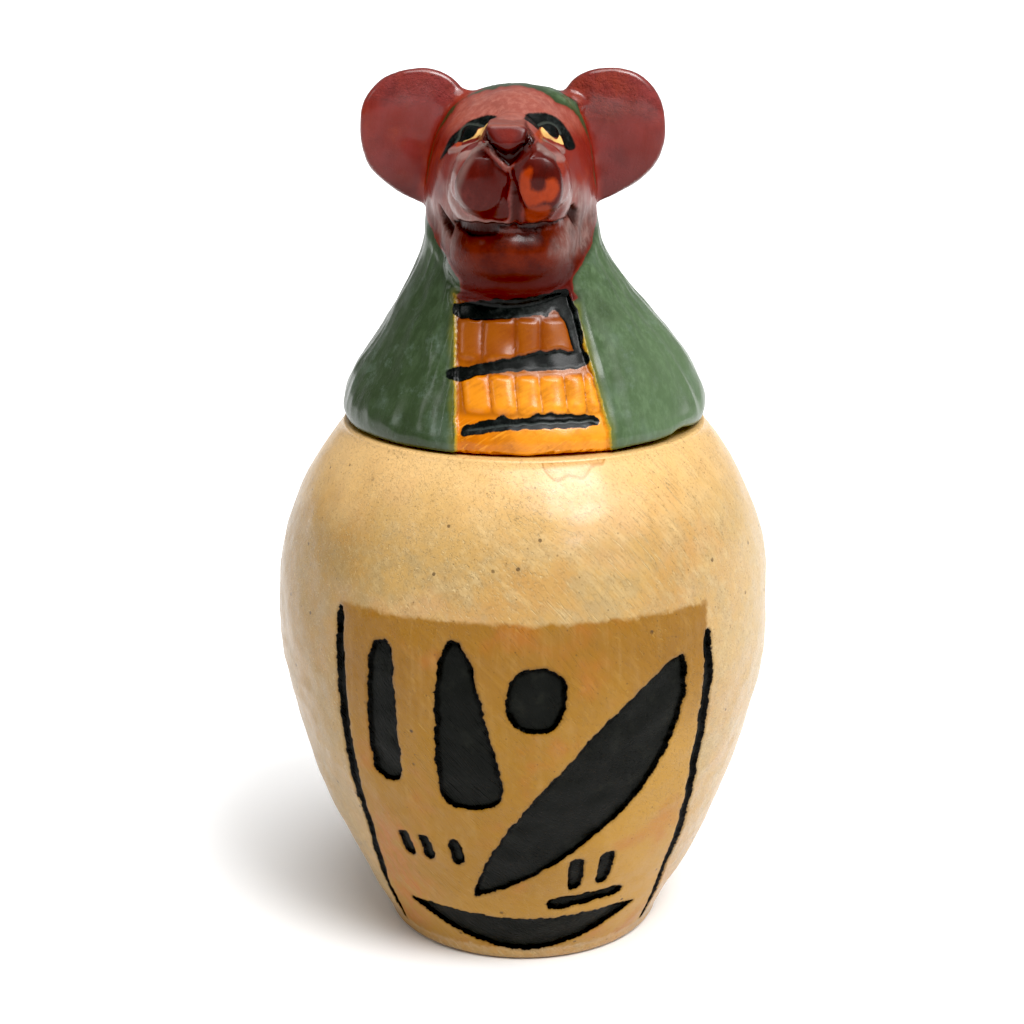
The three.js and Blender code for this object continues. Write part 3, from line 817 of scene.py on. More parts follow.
def carveLid(lid):
    v = lidValues
    r = reliefValues
    places = pointsOf(lid)
    ways = readVectors(lid.data.vertices, "normal")
    rise = places[:, 2] - v["base"]
    flat = np.column_stack([places[:, 0], rise])
    front = ease(-ways[:, 1], 0.02, 0.25) * (places[:, 1] < 2)
    wander = 0.07 * np.column_stack([waves(flat, 2.2, 31), waves(flat, 2.2, 32)])
    drawn = flat + wander

    # Outlines are rounded off when a count of points is given
    def nearest(outlines, count=0, points=drawn):
        shapes = [roundedOutline(outline, count) if count else outline for outline in outlines]
        return np.min([outlineDistance(points, shape) for shape in shapes], axis=0)

    def nearestLine(lines):
        shapes = [smoothLine(line, np.linspace(0, 1, 16)) for line in lines]
        return np.min([lineDistance(flat, shape) for shape in shapes], axis=0)

    behind = places[:, 1] - np.interp(places[:, 0], *np.array(hoodEdge).T)
    face = np.maximum(nearest([faceOutline], 160), behind)
    spread = (flat - rootPaint["middle"]) / rootPaint["halfSizes"]
    root = np.hypot(spread[:, 0], spread[:, 1])
    rootDepth = np.abs(places[:, 1] - rootPaint["depth"]) - rootPaint["halfDepth"]
    leftRoot = np.maximum((root - 1) * 3.5, rootDepth)
    ears = np.minimum(np.minimum(earDistance(places, -1), earDistance(places, 1)), leftRoot)
    red = np.minimum(face, ears)
    awayFromFace = ease(faceDistance(places), 0.2, 0.9)
    inFront = places[:, 1] < -3
    collar = np.where(inFront, nearest([collarOutline]), 9)
    bar = np.where(inFront, nearest(bars, 96, flat + 1.6 * wander), 9)
    scratched = np.where(inFront, lineDistance(drawn, barLine), 9)
    # The eyes' paint stops where the muzzle and nose begin to stand forward
    besideNose = places[:, 1] > v["eyeReach"]
    eyes = np.where(besideNose, nearest(eyeBlack, 72, flat), 2)
    cream = np.where(besideNose, nearest(eyeCream, 60, flat), 2)
    corners = nearest(eyeCorners, 0, flat)
    iris = np.full(len(flat), 9.0)
    for (x, z), (length, width), tilt in irises:
        turn = math.radians(tilt)
        along = (flat[:, 0] - x) * math.cos(turn) + (flat[:, 1] - z) * math.sin(turn)
        across = (flat[:, 1] - z) * math.cos(turn) - (flat[:, 0] - x) * math.sin(turn)
        iris = np.minimum(iris, np.hypot(along / length, across / width))
    creases = nearestLine(lidCreases)
    lids = nearestLine(lowerLids)
    ridges = nearestLine(lidRidges)
    lobe = nearest(lobes, 72)
    nose = nearest([noseOutline], 0, flat)
    facet = nearest([noseFacet], 40, flat)
    stripe = nearest([philtrumStripe])
    gape = nearest(mouthDark)
    notch = nearest(mouthNotches, 0, flat)
    mouth = lineDistance(drawn, smoothLine(mouthLine, np.linspace(0, 1, 30)))
    patch = nearest([orangePatch], 72)
    lower = nearest([lowPatch], 30)
    cheek = nearest(cheekSheen, 50)
    lip = lineDistance(flat, philtrum)

    # The two lobes of the muzzle are cut nearly flat in front
    proud = np.maximum(0, v["lobeFront"] - places[:, 1]) * (rise > 30) * (rise < 43)
    places[:, 1] += v["lobeFlatness"] * proud * ease(nose, 0, 0.8)

    relief = np.zeros(len(places))
    relief -= r["collar"] * (ease(-collar, -0.15, 0.35) * awayFromFace * front)
    flutes = fluteRelief(flat) * ease(-collar, 0.1, 0.5) * awayFromFace * front
    flutes *= 1 - ease(-bar, -0.3, 0.2)
    relief += r["flute"] * flutes
    relief -= r["bar"] * ease(-bar, -0.1, 0.4) * awayFromFace * front
    relief -= r["barScratch"] * closeTo(scratched, 0.4) * front
    onFace = front * (places[:, 1] < -6)
    # The nose stands out as a flat facet, falls away to a sharp V, and the lobes' rims rise again beyond it
    relief -= r["noseFacet"] * ease(facet, 0, 1.3) * ease(-nose, -0.15, 0.15) * onFace
    relief += (r["noseRim"] * closeTo(np.abs(nose - 0.5), 0.5) * ease(42.4 - rise, 0, 1)
               * ease(-lobe, -0.3, 0.3) * onFace)
    relief -= r["mouthLine"] * closeTo(mouth, 0.55) * onFace
    relief -= r["mouthDark"] * ease(-gape, -0.1, 0.4) * onFace
    relief -= r["mouthCorner"] * ease(-notch, -0.25, 0.5) * onFace
    relief -= r["philtrum"] * closeTo(lip, 0.9) * onFace * ease(nose, -0.2, 0.3)
    relief -= r["lobeEdge"] * closeTo(np.abs(lobe - 0.2), 0.6) * onFace * ease(nose, 0.2, 0.9)
    relief -= r["eye"] * ease(-eyes, -0.1, 0.5) * onFace
    relief += r["iris"] * (1 - ease(iris, 0.3, 1.3)) * onFace
    relief -= r["lidCrease"] * closeTo(creases, 0.3) * onFace
    relief += r["lidRidge"] * closeTo(ridges, 0.6) * onFace
    # The wig's edge stands up round the face, and a crease runs where the ears meet the head
    wigEdge = closeTo(np.abs(red - 0.9), 1) * ease(ears, 0.5, 1.5) * (rise > 21) * (places[:, 1] < 4)
    relief += r["wigEdge"] * wigEdge
    crease = closeTo(np.abs(faceDistance(places) - 0.2), 0.8) * ease(-ears, -0.5, 0.2) * (rise > 28)
    relief -= r["earCrease"] * crease * (places[:, 1] < 2)
    above = ease(rise, 0.6, 3)
    relief += v["unevenness"] * (0.9 * waves(places, 11, 33) + 0.3 * waves(places, 4, 34)) * above
    # Broad shallow flats run up the wig, as a rasp leaves them
    bearing = np.degrees(np.arctan2(places[:, 0], -places[:, 1]))
    rasped = np.abs(waves(np.column_stack([bearing / 9, rise / 26]), 1.6, 36))
    relief -= r["rasp"] * rasped * above * ease(red, 0.4, 1.4) * ease(collar, 0, 0.6)
    places += ways * relief[:, None]
    lift = v["edgeLift"] * np.exp(-((bearing - v["liftBearing"]) / v["liftWidth"]) ** 2)
    lift += 0.2 * np.abs(waves(bearing[:, None], 60, 37))
    places[:, 2] += lift * (1 - ease(rise, 0.3, 3.2)) * ease(rise, -0.5, -0.1)
    movePoints(lid, places)

    # The ears' lower outer rims are painted pale: partly the bare stone at the edge, partly a painted sheen
    # of light catching the rim
    outer = ease(np.abs(places[:, 0] - v["faceAxis"]), 15, 17)
    rimSheen = ease(1 - np.abs(ways[:, 1]), 0.15, 0.5) * (ears < 0.3) * (1 - ease(rise, 35, 41)) * outer

    for name, values, limit in (
        ("earRimSheen", rimSheen, 1), ("redEdge", red, 6), ("faceEdge", face, 6), ("collarEdge", collar, 6),
        ("barEdge", bar, 3), ("eyeEdge", eyes, 2), ("creamEdge", cream, 2), ("irisRing", iris, 3),
        ("lidLine", lids, 2), ("creaseGap", creases, 2), ("ridgeGap", ridges, 2),
        ("cornerEdge", corners, 2), ("lobeEdge", lobe, 5), ("facetEdge", facet, 2),
        ("noseEdge", nose, 3), ("stripeEdge", stripe, 2), ("gapeEdge", gape, 2), ("notchEdge", notch, 2),
        ("mouthGap", mouth, 3), ("patchEdge", patch, 2), ("lowPatchEdge", lower, 2),
        ("cheekEdge", cheek, 4), ("scratchGap", scratched, 2), ("fluteRelief", flutes, 1),
    ):
        addMeasure(lid, name, np.clip(values, -limit, limit))


# Shader maths: a wire is a socket that can be added, multiplied and so on

class Wire:
    def __init__(self, tree, socket=None):
        self.tree = tree
        self.socket = socket

    def node(self, kind, settings=None, inputs=None, output=0):
        made = self.tree.nodes.new("ShaderNode" + kind)
        for name, value in (settings or {}).items():
            setattr(made, name, value)
        for name, value in (inputs or {}).items():
            if isinstance(value, Wire):
                self.tree.links.new(value.socket, made.inputs[name])
            else:
                made.inputs[name].default_value = value
        return Wire(self.tree, made.outputs[output] if len(made.outputs) else None)

    def maths(self, operation, first, second):
        return self.node("Math", {"operation": operation}, {0: first, 1: second})

    def __add__(self, other):
        return self.maths("ADD", self, other)

    def __radd__(self, other):
        return self.maths("ADD", other, self)

    def __sub__(self, other):
        return self.maths("SUBTRACT", self, other)

    def __rsub__(self, other):
        return self.maths("SUBTRACT", other, self)

    def __mul__(self, other):
        return self.maths("MULTIPLY", self, other)

    def __rmul__(self, other):
        return self.maths("MULTIPLY", other, self)


def colour(code):
    channels = [int(code[i:i + 2], 16) / 255 for i in (1, 3, 5)]
    linear = [c / 12.92 if c <= 0.04045 else ((c + 0.055) / 1.055) ** 2.4 for c in channels]
    return (*linear, 1.0)


def ramp(value, low, high, start, end):
    return value.node("MapRange", {"interpolation_type": "SMOOTHSTEP"}, {
        "Value": value, "From Min": low, "From Max": high, "To Min": start, "To Max": end,
    })


def rising(value, low, high):
    return ramp(value, low, high, 0.0, 1.0)


def falling(value, low, high):
    return ramp(value, low, high, 1.0, 0.0)


def mixed(under, over, share):
    tree = share if isinstance(share, Wire) else under
    return tree.node("Mix", {"data_type": "RGBA", "clamp_factor": True}, {0: share, 6: under, 7: over}, 2)


def most(first, second):
    return first.maths("MAXIMUM", first, second)


def measure(bench, name):
    return bench.node("Attribute", {"attribute_name": name}, output="Fac")


# Several named measures of the mesh at once
def measures(bench, *names):
    return [measure(bench, name) for name in names]


def stretched(spot, sizes, turn):
    return spot.node("Mapping", {"vector_type": "TEXTURE"}, {
        "Vector": spot, "Rotation": [math.radians(a) for a in turn], "Scale": sizes,
    })


def shifted(spot, offset):
    return spot.node("VectorMath", {"operation": "ADD"}, {0: spot, 1: offset})


# Cloudy noise with swells a given size apart; the offset gives each use a part of its own
def grain(spot, size, detail=3.0, roughness=0.55, offset=(0, 0, 0)):
    return spot.node("TexNoise", None, {
        "Vector": shifted(spot, offset), "Scale": 1 / size, "Detail": detail, "Roughness": roughness,
    })


# Noise drawn out to streaks of given sizes, tilted in the front view by some degrees
def strands(spot, sizes, tilt, detail, roughness, offset=(0, 0, 0)):
    return grain(stretched(shifted(spot, offset), sizes, (0, tilt, 0)), 1, detail, roughness)


# Small round specks: some cells of a cell pattern, each with a dot of its own size
def specks(spot, cell, size, share):
    pattern = {"Vector": spot, "Scale": 1 / cell, "Randomness": 1.0}
    near = spot.node("TexVoronoi", None, pattern, "Distance")
    pick = spot.node("TexVoronoi", None, pattern, "Color")
    chance = spot.node("SeparateColor", None, {"Color": pick}, "Red")
    return falling(near, size / cell * 0.6, size / cell) * rising(chance, 1 - share, 1 - share + 0.05)


def newMaterial(name):
    material = bpy.data.materials.new(name)
    material.use_nodes = True
    material.node_tree.nodes.clear()
    bench = Wire(material.node_tree)
    place = bench.node("TexCoord", output="Object")
    spot = bench.node("VectorMath", {"operation": "SCALE"}, {0: place, "Scale": 1000.0})
    return material, bench, spot


# Layers of colour, each a colour's name in the finish, a colour or a wire, with the share it covers
def layered(base, finish, layers):
    def toned(tone):
        return colour(finish[tone]) if isinstance(tone, str) else tone

    base = toned(base)
    for over, share in layers:
        base = mixed(base, toned(over), share)
    return base


def finishMaterial(bench, base, roughness, coat, heights, finish):
    bump = bench.node("Bump", None, {"Height": heights, "Strength": 1.0, "Distance": mm})
    shader = bench.node("BsdfPrincipled", None, {
        "Base Color": base, "Roughness": roughness, "Coat Weight": coat, "Normal": bump,
        "Coat Roughness": finish["coatRoughness"], "Coat IOR": 1.5,
        "Specular IOR Level": finish["specular"],
    })
    bench.node("OutputMaterial", None, {"Surface": shader})


stoneFinish = {
    "cream": "#b08d54",
    "honey": "#ad7f43",
    "greyed": "#9d875f",
    "pinkish": "#b98f62",
    "paintedLeftShade": "#856831",
    "paintedTopLight": "#e0b678",
    "chalkAndLight": "#cbb07e",
    "varnish": "#b07a34",
    "drip": "#c07a28",
    "speck": "#3a2610",
    "grit": "#86693a",
    "ochre": "#845908",
    "ochreDark": "#774e04",
    "ochreLight": "#8e630d",
    "ochrePale": "#ab7f30",
    "redStain": "#a3561a",
    "ink": "#141513",
    "inkEdge": "#030302",
    "inkWorn": "#23241f",
    "coatRoughness": 0.27,
    "specular": 0.1,
}


def stoneMaterial():
    f = stoneFinish
    material, bench, spot = newMaterial("varnishedStone")
    height = bench.node("SeparateXYZ", None, {"Vector": spot}, "Z")
    across = bench.node("SeparateXYZ", None, {"Vector": spot}, "X")
    cloud = grain(spot, 19, 3)
    patchy = grain(spot, 5, 5, 0.65, (31, 7, 5))
    mottle = grain(spot, 2, 4, 0.65, (11, 70, 3))
    fine = grain(spot, 1.0, 4, 0.6)
    dust = grain(spot, 0.42, 3, 0.7, (3, 2, 1))
    scratched = rising(grain(spot, 14, 2, offset=(60, 20, 10)), 0.34, 0.6)
    hairs = rising(strands(spot, (12, 0.3, 0.3), 47, 2, 0.6), 0.58, 0.7) * scratched
    faintHairs = rising(strands(spot, (8, 0.26, 0.26), 56, 2, 0.6, (50, 0, 0)), 0.55, 0.72)
    darkHairs = rising(strands(spot, (5, 0.35, 0.35), 50, 3, 0.7, (5, 0, 60)), 0.6, 0.72)
    rubs = strands(spot, (11, 1, 1), 45, 4, 0.65, (0, 30, 20))
    streaks = strands(spot, (1.6, 1.6, 13), 0, 4, 0.6)
    dripEdge, panelEdge, inkEdge = measures(bench, "dripEdge", "panelEdge", "inkEdge")

    base = layered("cream", f, [
        ("honey", rising(cloud + mottle * 0.3, 0.5, 0.8) * 0.75),
        ("greyed", rising(patchy + mottle * 0.4, 0.6, 0.85) * 0.65),
        ("pinkish", rising(grain(spot, 12, 4, offset=(9, 50, 3)), 0.5, 0.7) * 0.5),
        ("chalkAndLight", rising(rubs + patchy * 0.4, 0.66, 0.95) * 0.4),
        # painted light: the right side, where the light falls, made paler
        ("chalkAndLight", rising(across + patchy * 8, 25.0, 40.0) * 0.45),
        # painted shade: the left side, away from the light, made darker
        ("paintedLeftShade", rising(patchy * 10 - across, 18.0, 36.0) * 0.6),
        # painted light: the shoulder under the lid made paler, as if lit from above
        ("paintedTopLight", rising(height + patchy * 10 + cloud * 10, 75.0, 91.0) * 0.75),
        ("varnish", falling(height + cloud * 10, 4.0, 10.0) * 0.3),
        ("chalkAndLight", hairs * 0.6 + faintHairs * 0.3),
        ("grit", darkHairs * 0.45),
        ("grit", rising(dust + mottle * 0.3, 0.68, 0.86) * 0.5),
        ("drip", falling(dripEdge, -0.35, 0.1) * 0.3),
        ("varnish", falling(dripEdge, 0.0, 0.3) * rising(dripEdge, -0.35, -0.1) * 0.75),
    ])

    inPanel = falling(panelEdge + (fine - 0.5) * 0.5 + (rubs - 0.5) * 0.7, -0.45, 0.45)
    stained = rising(height + (streaks - 0.5) * 5 + (cloud - 0.5) * 16, 36.0, 54.0)
    lowLeft = falling(across + patchy * 6, -14.0, -9.0) * falling(height, 18.0, 32.0)
    yellow = layered("ochreLight", f, [
        # painted light: the panel paler towards the right, where the light falls
        ("ochrePale", rising(across + patchy * 10, 4.0, 24.0)),
        ("ochrePale", falling(height + patchy * 8, 12.0, 22.0) * 0.4),
        ("ochre", stained),
        ("ochreDark", stained * rising(cloud + patchy * 0.3, 0.6, 0.85) * 0.5),
        ("redStain", rising(grain(spot, 10, 3, offset=(3, 3, 60)), 0.53, 0.7) * 0.4),
        ("redStain", lowLeft * rising(streaks, 0.4, 0.62) * 0.55),
        ("cream", rising(streaks + patchy * 0.6, 0.8, 1.05) * 0.15),
        ("ochrePale", hairs * 0.4 + rising(rubs, 0.5, 0.75) * 0.2),
    ])

    inked = falling(inkEdge + (fine - 0.5) * 0.42 + (dust - 0.5) * 0.25, 0.0, 0.14)
    black = layered("ink", f, [
        ("inkWorn", rising(grain(spot, 3.2, 4, 0.6), 0.5, 0.74) * 0.5),
        # painted shade: the ink darker still along its edges, down the carving's walls
        ("inkEdge", rising(inkEdge + (patchy - 0.5) * 1.2, -0.9, -0.35)),
    ])
    dots = specks(spot, 3.0, 0.34, 0.45) * rising(patchy, 0.3, 0.5)
    smallDots = most(specks(shifted(spot, (5, 5, 5)), 1.4, 0.16, 0.4), specks(spot, 0.8, 0.13, 0.4) * 0.6)
    base = layered(base, f, [
        (yellow, inPanel * 0.95),
        ("speck", dots * (mottle * 0.8 + 0.3)),
        ("speck", smallDots * 0.5),
        ("speck", falling(inkEdge, 0.1, 0.6) * rising(inkEdge, -0.1, 0.1) * 0.25),
        (black, inked),
    ])

    roughness = 0.45 + patchy * 0.2 + hairs * 0.1
    coat = (rising(mottle + cloud * 0.5, 0.5, 1.0) * 0.35 + 0.5) * (1 - inked * 0.85) * (1 - inPanel * 0.35)
    heights = (fine * 0.03 + dust * 0.025 + rubs * 0.14 - hairs * 0.08 - faintHairs * 0.05 - dots * 0.06
               + inked * (grain(spot, 0.9, 3, 0.6) * 0.015) + mottle * 0.02
               + falling(dripEdge, -0.3, 0.2) * 0.07)
    finishMaterial(bench, base, roughness, coat, heights, f)
    return material


paintFinish = {
    "green": "#394c2f",
    "greenDark": "#232f17",
    "greenLight": "#5f7455",
    "greenGrey": "#68786c",
    "moss": "#6d6a1c",
    "goldGlint": "#a8861c",
    "red": "#722219",
    "earRed": "#7e2f2d",
    "redDark": "#4f1512",
    "redOrange": "#93371a",
    "litPink": "#a36456",
    "maroon": "#420b05",
    "maroonDark": "#1f0604",
    "chin": "#3a0802",
    "chinWarm": "#77260a",
    "sheen": "#927b74",
    "paleRimSheen": "#b5aaa6",
    "patch": "#96320a",
    "black": "#0d0f0e",
    "blackWorn": "#303533",
    "sclera": "#dcae68",
    "iris": "#0c0f0e",
    "crease": "#4c524b",
    "lidLine": "#5e150f",
    "orange": "#bf6900",
    "orangeDark": "#6c2800",
    "orangeLight": "#e89626",
    "fluteGapShade": "#5c2b02",
    "coatRoughness": 0.2,
    "specular": 0.1,
}


def paintMaterial():
    f = paintFinish
    material, bench, spot = newMaterial("varnishedPaint")
    height = bench.node("SeparateXYZ", None, {"Vector": spot}, "Z") - lidValues["base"]
    across = bench.node("SeparateXYZ", None, {"Vector": spot}, "X")
    cloud = grain(spot, 11, 3)
    patchy = grain(spot, 4.2, 4, 0.6, (13, 7, 5))
    fine = grain(spot, 0.9, 4, 0.65)
    dust = grain(spot, 0.4, 2)
    worn = grain(spot, 2.6, 5, 0.75, (4, 90, 2))
    brush = strands(spot, (0.9, 0.9, 6), 10, 5, 0.65)
    slant = strands(spot, (6, 0.5, 0.5), -32, 3, 0.6, (70, 0, 0))
    edge = (fine - 0.5) * 0.3 + (dust - 0.5) * 0.12

    redEdge, faceEdge, collarEdge = measures(bench, "redEdge", "faceEdge", "collarEdge")
    lobeEdge, noseEdge, facetEdge = measures(bench, "lobeEdge", "noseEdge", "facetEdge")
    irisRing, flute = measures(bench, "irisRing", "fluteRelief")

    # A painted form's share: full inside its outline, with a brushed edge between two distances from it
    def painted(name, wander, start, end):
        return falling(measure(bench, name) + edge * wander, start, end)

    green = layered("green", f, [
        ("greenLight", rising(brush + patchy * 0.5, 0.66, 0.95) * 0.5),
        ("greenDark", rising(cloud + patchy * 0.5, 0.7, 0.95) * 0.7),
        # painted light: the wig paler towards the right, where the light falls
        ("greenLight", rising(across + patchy * 16, 12.0, 32.0) * 0.5),
        # painted shade: the wig darker towards the left, away from the light
        ("greenDark", falling(across + patchy * 14 + cloud * 10, -8.0, 14.0) * 0.7),
        ("greenGrey", rising(worn, 0.54, 0.74) * 0.28),
        ("greenGrey", rising(grain(spot, 8, 3, offset=(40, 9, 2)) + worn * 0.4, 0.72, 0.92) * 0.22),
        ("moss", falling(collarEdge + patchy * 1.2, 0.5, 1.9) * 0.6),
        # a thin gold line along the collar's edge, partly paint and partly a painted glint of light on its
        # step
        ("goldGlint", falling(collarEdge + edge * 1.5, 0.05, 0.3) * 0.8),
        ("greenDark", falling(redEdge + patchy * 0.6, 0.2, 1.1) * 0.8),
    ])

    inFace = falling(faceEdge, -0.6, 0.3)
    onEars = rising(faceEdge, 0.2, 1.5)
    hair = rising(brush + fine * 0.4, 0.55, 0.95)
    # The chin's paint is much darker than the face's: painted shade on the down-turned chin
    chin = inFace * falling(height + patchy * 2, 30.5, 33.5)
    warmed = rising(patchy + cloud * 0.5, 0.6, 0.9) * rising(height, 22.0, 28.0)
    # painted reflection: a pale sheen on the cheeks
    cheek = inFace * falling(measure(bench, "cheekEdge") + (patchy - 0.5) * 2, -1.0, 1.1)
    lobed = falling(lobeEdge + edge, -0.05, 0.25) * inFace
    # painted highlight: a pale crescent round the muzzle's lobes, and along the left lobe's rim
    crescent = falling(lobeEdge, 0.5, 1.6) * rising(lobeEdge, 0.1, 0.5) * inFace
    lobeSide = falling(lobeEdge, 0.0, 0.2) * rising(lobeEdge, -1.5, -0.6) * falling(across, -7.5, -5.5)
    patched = falling(measure(bench, "patchEdge") + edge * 2 + (brush - 0.5) * 0.6, -0.35, 0.35)
    nosed = falling(noseEdge + edge, -0.1, 0.15) * inFace
    parting = most(painted("stripeEdge", 2, -0.5, 0.3) * 0.75, painted("gapeEdge", 1, -0.25, 0.2) * 0.85)
    mouth = most(painted("mouthGap", 1, 0.05, 0.3) * inFace, painted("notchEdge", 1, -0.2, 0.25) * 0.85)
    shut = most(parting, mouth)
    inEye = inFace * painted("eyeEdge", 0.6, -0.06, 0.18)
    maroon = layered("maroon", f, [
        ("maroonDark", rising(patchy + hair * 0.2, 0.52, 0.85) * 0.5),
        ("red", rising(cloud + fine * 0.3, 0.55, 0.85) * 0.6),
    ])
    blackTone = layered("black", f, [("blackWorn", rising(patchy * 0.5 + fine * 0.5, 0.48, 0.68) * 0.6)])
    red = layered("red", f, [
        ("redOrange", rising(patchy, 0.45, 0.7) * 0.45),
        ("earRed", onEars * rising(cloud + brush * 0.3, 0.5, 0.8) * 0.8),
        ("redDark", rising(grain(spot, 7, 4, offset=(8, 8, 40)), 0.5, 0.72) * 0.6),
        ("redDark", onEars * falling(height + cloud * 8, 37.0, 48.0) * 0.7),
        # painted sheen of light on the ears' lower outer rims, over the bare stone there
        ("paleRimSheen", measure(bench, "earRimSheen") * (fine * 0.4 + 0.5)),
        # painted light: the forehead paler where it faces up
        ("litPink", inFace * rising(height + patchy * 2, 41.5, 46.5) * (hair * 0.45 + 0.4)),
        # painted shade: the chin dark
        ("chin", chin * 0.95),
        ("chinWarm", chin * warmed * 0.5),
        # painted shade: the face darker still low down, where the chin turns under
        ("redDark", inFace * falling(height + patchy * 3, 22.5, 26.0) * 0.6),
        # painted reflection on the cheeks
        ("sheen", cheek * (hair * 0.4 + 0.22)),
        (maroon, lobed),
        # painted highlight round and on the lobes' left rims
        ("sheen", crescent * falling(across, -3.0, 0.0) * 0.5 * (hair * 0.5 + 0.5)),
        ("sheen", lobeSide * inFace * 0.3),
        ("patch", patched * (fine * 0.5 + 0.6)),
        ("redOrange", painted("lowPatchEdge", 2, -0.4, 0.4) * 0.6),
        ("maroon", nosed),
        # painted shade: the nose's sides darker beyond its front facet, falling away into the V
        ("maroonDark", nosed * rising(facetEdge, 0.1, 0.7) * 0.85),
        ("redDark", nosed * falling(facetEdge + edge, -0.3, 0.35)),
        ("red", nosed * falling(facetEdge + edge, -0.9, -0.1) * rising(patchy, 0.3, 0.6) * 0.7),
        # painted highlight along the nose's top edge
        ("litPink", nosed * rising(height, 44.4, 44.8) * 0.5),
        ("maroonDark", shut),
        # painted highlight on the raised ridges under the eyes
        ("sheen", inFace * painted("ridgeGap", 1, 0.2, 0.6) * 0.5),
        ("redOrange", inFace * painted("cornerEdge", 0.6, -0.1, 0.15)),
        (blackTone, inEye),
        ("crease", inFace * painted("creaseGap", 0.5, 0.08, 0.3) * 0.45),
        ("lidLine", inFace * painted("lidLine", 0.4, 0.12, 0.28)),
        ("sclera", inFace * painted("creamEdge", 0.4, -0.05, 0.08)),
        ("iris", inFace * falling(irisRing, 0.9, 1.03)),
    ])

    lowRight = falling(height + patchy * 2, 9.0, 12.0) * rising(across + patchy * 6, -4.0, 6.0)
    orange = layered("orange", f, [
        # painted light: the flutes' raised crowns paler
        ("orangeLight", rising(flute + fine * 0.5, 0.5, 1.2) * 0.5),
        ("orangeLight", lowRight * 0.7),
        ("orangeDark", rising(patchy + slant * 0.4, 0.6, 0.9) * 0.4),
        ("orangeDark", rising(height + patchy * 3, 11.5, 15.0) * 0.8),
        # painted shade: the gaps between the flutes darker
        ("fluteGapShade", falling(flute, 0.05, 0.4) * rising(height, 4.6, 5.6) * 0.5),
        ("orangeLight", rising(slant, 0.5, 0.7) * falling(height, 3.6, 5.2) * 0.7),
        # a thin gold line inside the collar's edge, partly paint and partly a painted glint of light on its
        # step
        ("goldGlint", falling(collarEdge * -1 + edge, 0.0, 0.25) * 0.6),
    ])
    isRed = falling(redEdge + edge, -0.12, 0.12)
    barred = painted("barEdge", 1.4, -0.06, 0.1)
    base = layered(green, f, [
        (red, isRed),
        (orange, falling(collarEdge + edge, -0.12, 0.12) * (1 - isRed)),
        (blackTone, barred),
        ("blackWorn", barred * painted("scratchGap", 1, 0.05, 0.22)),
        (colour(stoneFinish["cream"]), falling(height, -0.25, 0.05)),
    ])

    roughness = 0.42 + patchy * 0.2
    dull = most(most(barred * 0.6, chin * 0.75), most(inEye * 0.6, shut * 0.85))
    dull = most(dull, most(lobed, nosed) * 0.4)
    sparkle = rising(fine, 0.5, 0.7) * rising(cloud + patchy * 0.5, 0.66, 0.9)
    trim = falling(collarEdge, 0.2, 0.7) * rising(collarEdge, -0.5, 0.0)
    # The varnish lies thick and bumpy on the ears' upper rims and the lower lip
    highUp = rising(height + patchy * 3 + rising(across, 0.0, 6.0) * 2, 46.0, 49.5)
    midFace = rising(across, -5.0, -3.0) * falling(across, 1.0, 3.0)
    lips = inFace * midFace * rising(height, 27.5, 28.5) * falling(height, 30.5, 31.5)
    wet = most(rising(faceEdge, 0.3, 1.5) * isRed * highUp, lips)
    coat = (rising(cloud + fine * 0.4, 0.3, 0.8) * 0.3 + 0.3) * (1 - dull) + wet * 0.45
    heights = (fine * 0.02 + brush * 0.03 + patchy * 0.03 + slant * 0.012 + sparkle * 0.05
               + trim * fine * 0.25 + isRed * dust * 0.02 + wet * fine * 0.75
               + barred * (grain(spot, 0.7, 3, 0.6) * 0.03))
    finishMaterial(bench, base, roughness, coat, heights, f)
    return material


def dress(piece, material, node):
    piece.data.materials.clear()
    piece.data.materials.append(material)
    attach(piece, "root")
    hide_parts(node)


jar = makeJar()
print("jar carved:", len(jar.data.polygons), "faces")
lid = makeLid()
print("lid carved:", len(lid.data.polygons), "faces")
dress(jar, stoneMaterial(), "jar_body")
dress(lid, paintMaterial(), "head_lid")
print("pieces painted and varnished")


# The studio: a pale floor in a white room, a broad soft light from above, a window with its glow at the
# right, and a faint window at the left

studio = {
    "floorTone": 0.96,
    "floorRoughness": 0.8,
    "floorShine": 0.1,
    "roomLight": 0.37,
    # Each light: the direction it shines from, how many degrees wide it looks, and its strength
    "lights": {
        "overheadLight": ((0.12, -0.25, 0.96), 44, 2.3),
        "windowGlow": ((0.48, -0.4, 0.76), 50, 0.55),
        "window": ((0.37, -0.45, 0.76), 26, 1.8),
        "leftWindow": ((-0.75, -0.35, 0.45), 12, 0.12),
    },
    "blackLevel": 0.013,    # the picture's darkest tones are taken down a little, as a camera does
    "cameraPlace": (0, -0.300, 0.1527),
    "cameraTilt": (90 - 16.40, 0, 0.342),
    "focalPixels": 2060,    # the focal length in the picture's own pixels
    "pictureWidth": 1024,
    "sensorWidth": 36,
}


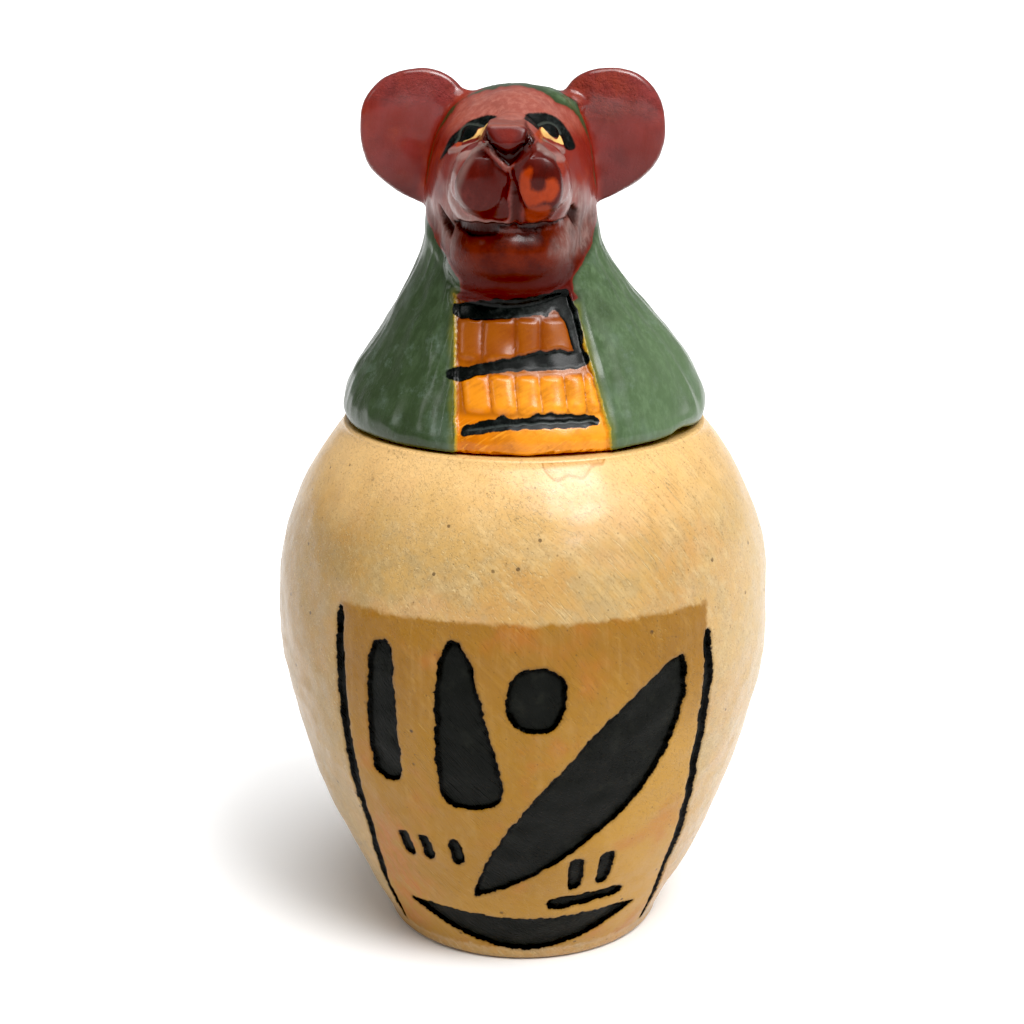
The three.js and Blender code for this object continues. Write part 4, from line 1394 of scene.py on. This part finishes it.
def makeFloor():
    deselectAll()
    bpy.ops.mesh.primitive_plane_add(size=40)
    floor = bpy.context.object
    floor.name = "studioFloor"
    material = bpy.data.materials.new("paleFloor")
    material.use_nodes = True
    material.node_tree.nodes.clear()
    bench = Wire(material.node_tree)
    tone = (studio["floorTone"],) * 3 + (1,)
    shader = bench.node("BsdfPrincipled", None, {
        "Base Color": tone, "Roughness": studio["floorRoughness"],
        "Specular IOR Level": studio["floorShine"],
    })
    bench.node("OutputMaterial", None, {"Surface": shader})
    floor.data.materials.append(material)


# A broad far light that shines from a given direction, and whose disc looks so many degrees wide
def makeLight(name, direction, spread, power):
    deselectAll()
    bpy.ops.object.light_add(type="SUN", location=[c * 0.5 for c in direction])
    light = bpy.context.object
    light.name = name
    light.data.angle = math.radians(spread)
    light.data.energy = power
    turn = math.atan2(direction[1], direction[0])
    fall = math.atan2(math.hypot(direction[0], direction[1]), direction[2])
    light.rotation_euler = (0, fall, turn)


def makeCamera():
    camera = bpy.data.cameras.new("camera")
    camera.sensor_width = studio["sensorWidth"]
    camera.lens = studio["focalPixels"] * studio["sensorWidth"] / studio["pictureWidth"]
    camera.clip_start = 0.01
    holder = bpy.data.objects.new("camera", camera)
    bpy.context.scene.collection.objects.link(holder)
    holder.location = studio["cameraPlace"]
    holder.rotation_euler = [math.radians(a) for a in studio["cameraTilt"]]
    bpy.context.scene.camera = holder


makeFloor()
for lightName, (direction, spread, power) in studio["lights"].items():
    makeLight(lightName, direction, spread, power)
room = bpy.data.worlds.new("room")
room.use_nodes = True
# The room's walls light the jar softly, and look white themselves
walls = Wire(room.node_tree)
seen = walls.node("LightPath", output="Is Camera Ray")
brightness = seen * (1 - studio["roomLight"]) + studio["roomLight"]
backdrop = room.node_tree.nodes["Background"]
backdrop.inputs["Color"].default_value = (1, 1, 1, 1)
room.node_tree.links.new(brightness.socket, backdrop.inputs["Strength"])
bpy.context.scene.world = room
view = bpy.context.scene.view_settings
view.view_transform = "Standard"
view.use_curve_mapping = True
view.curve_mapping.black_level = (studio["blackLevel"],) * 3
view.curve_mapping.update()
makeCamera()
print("studio set up")
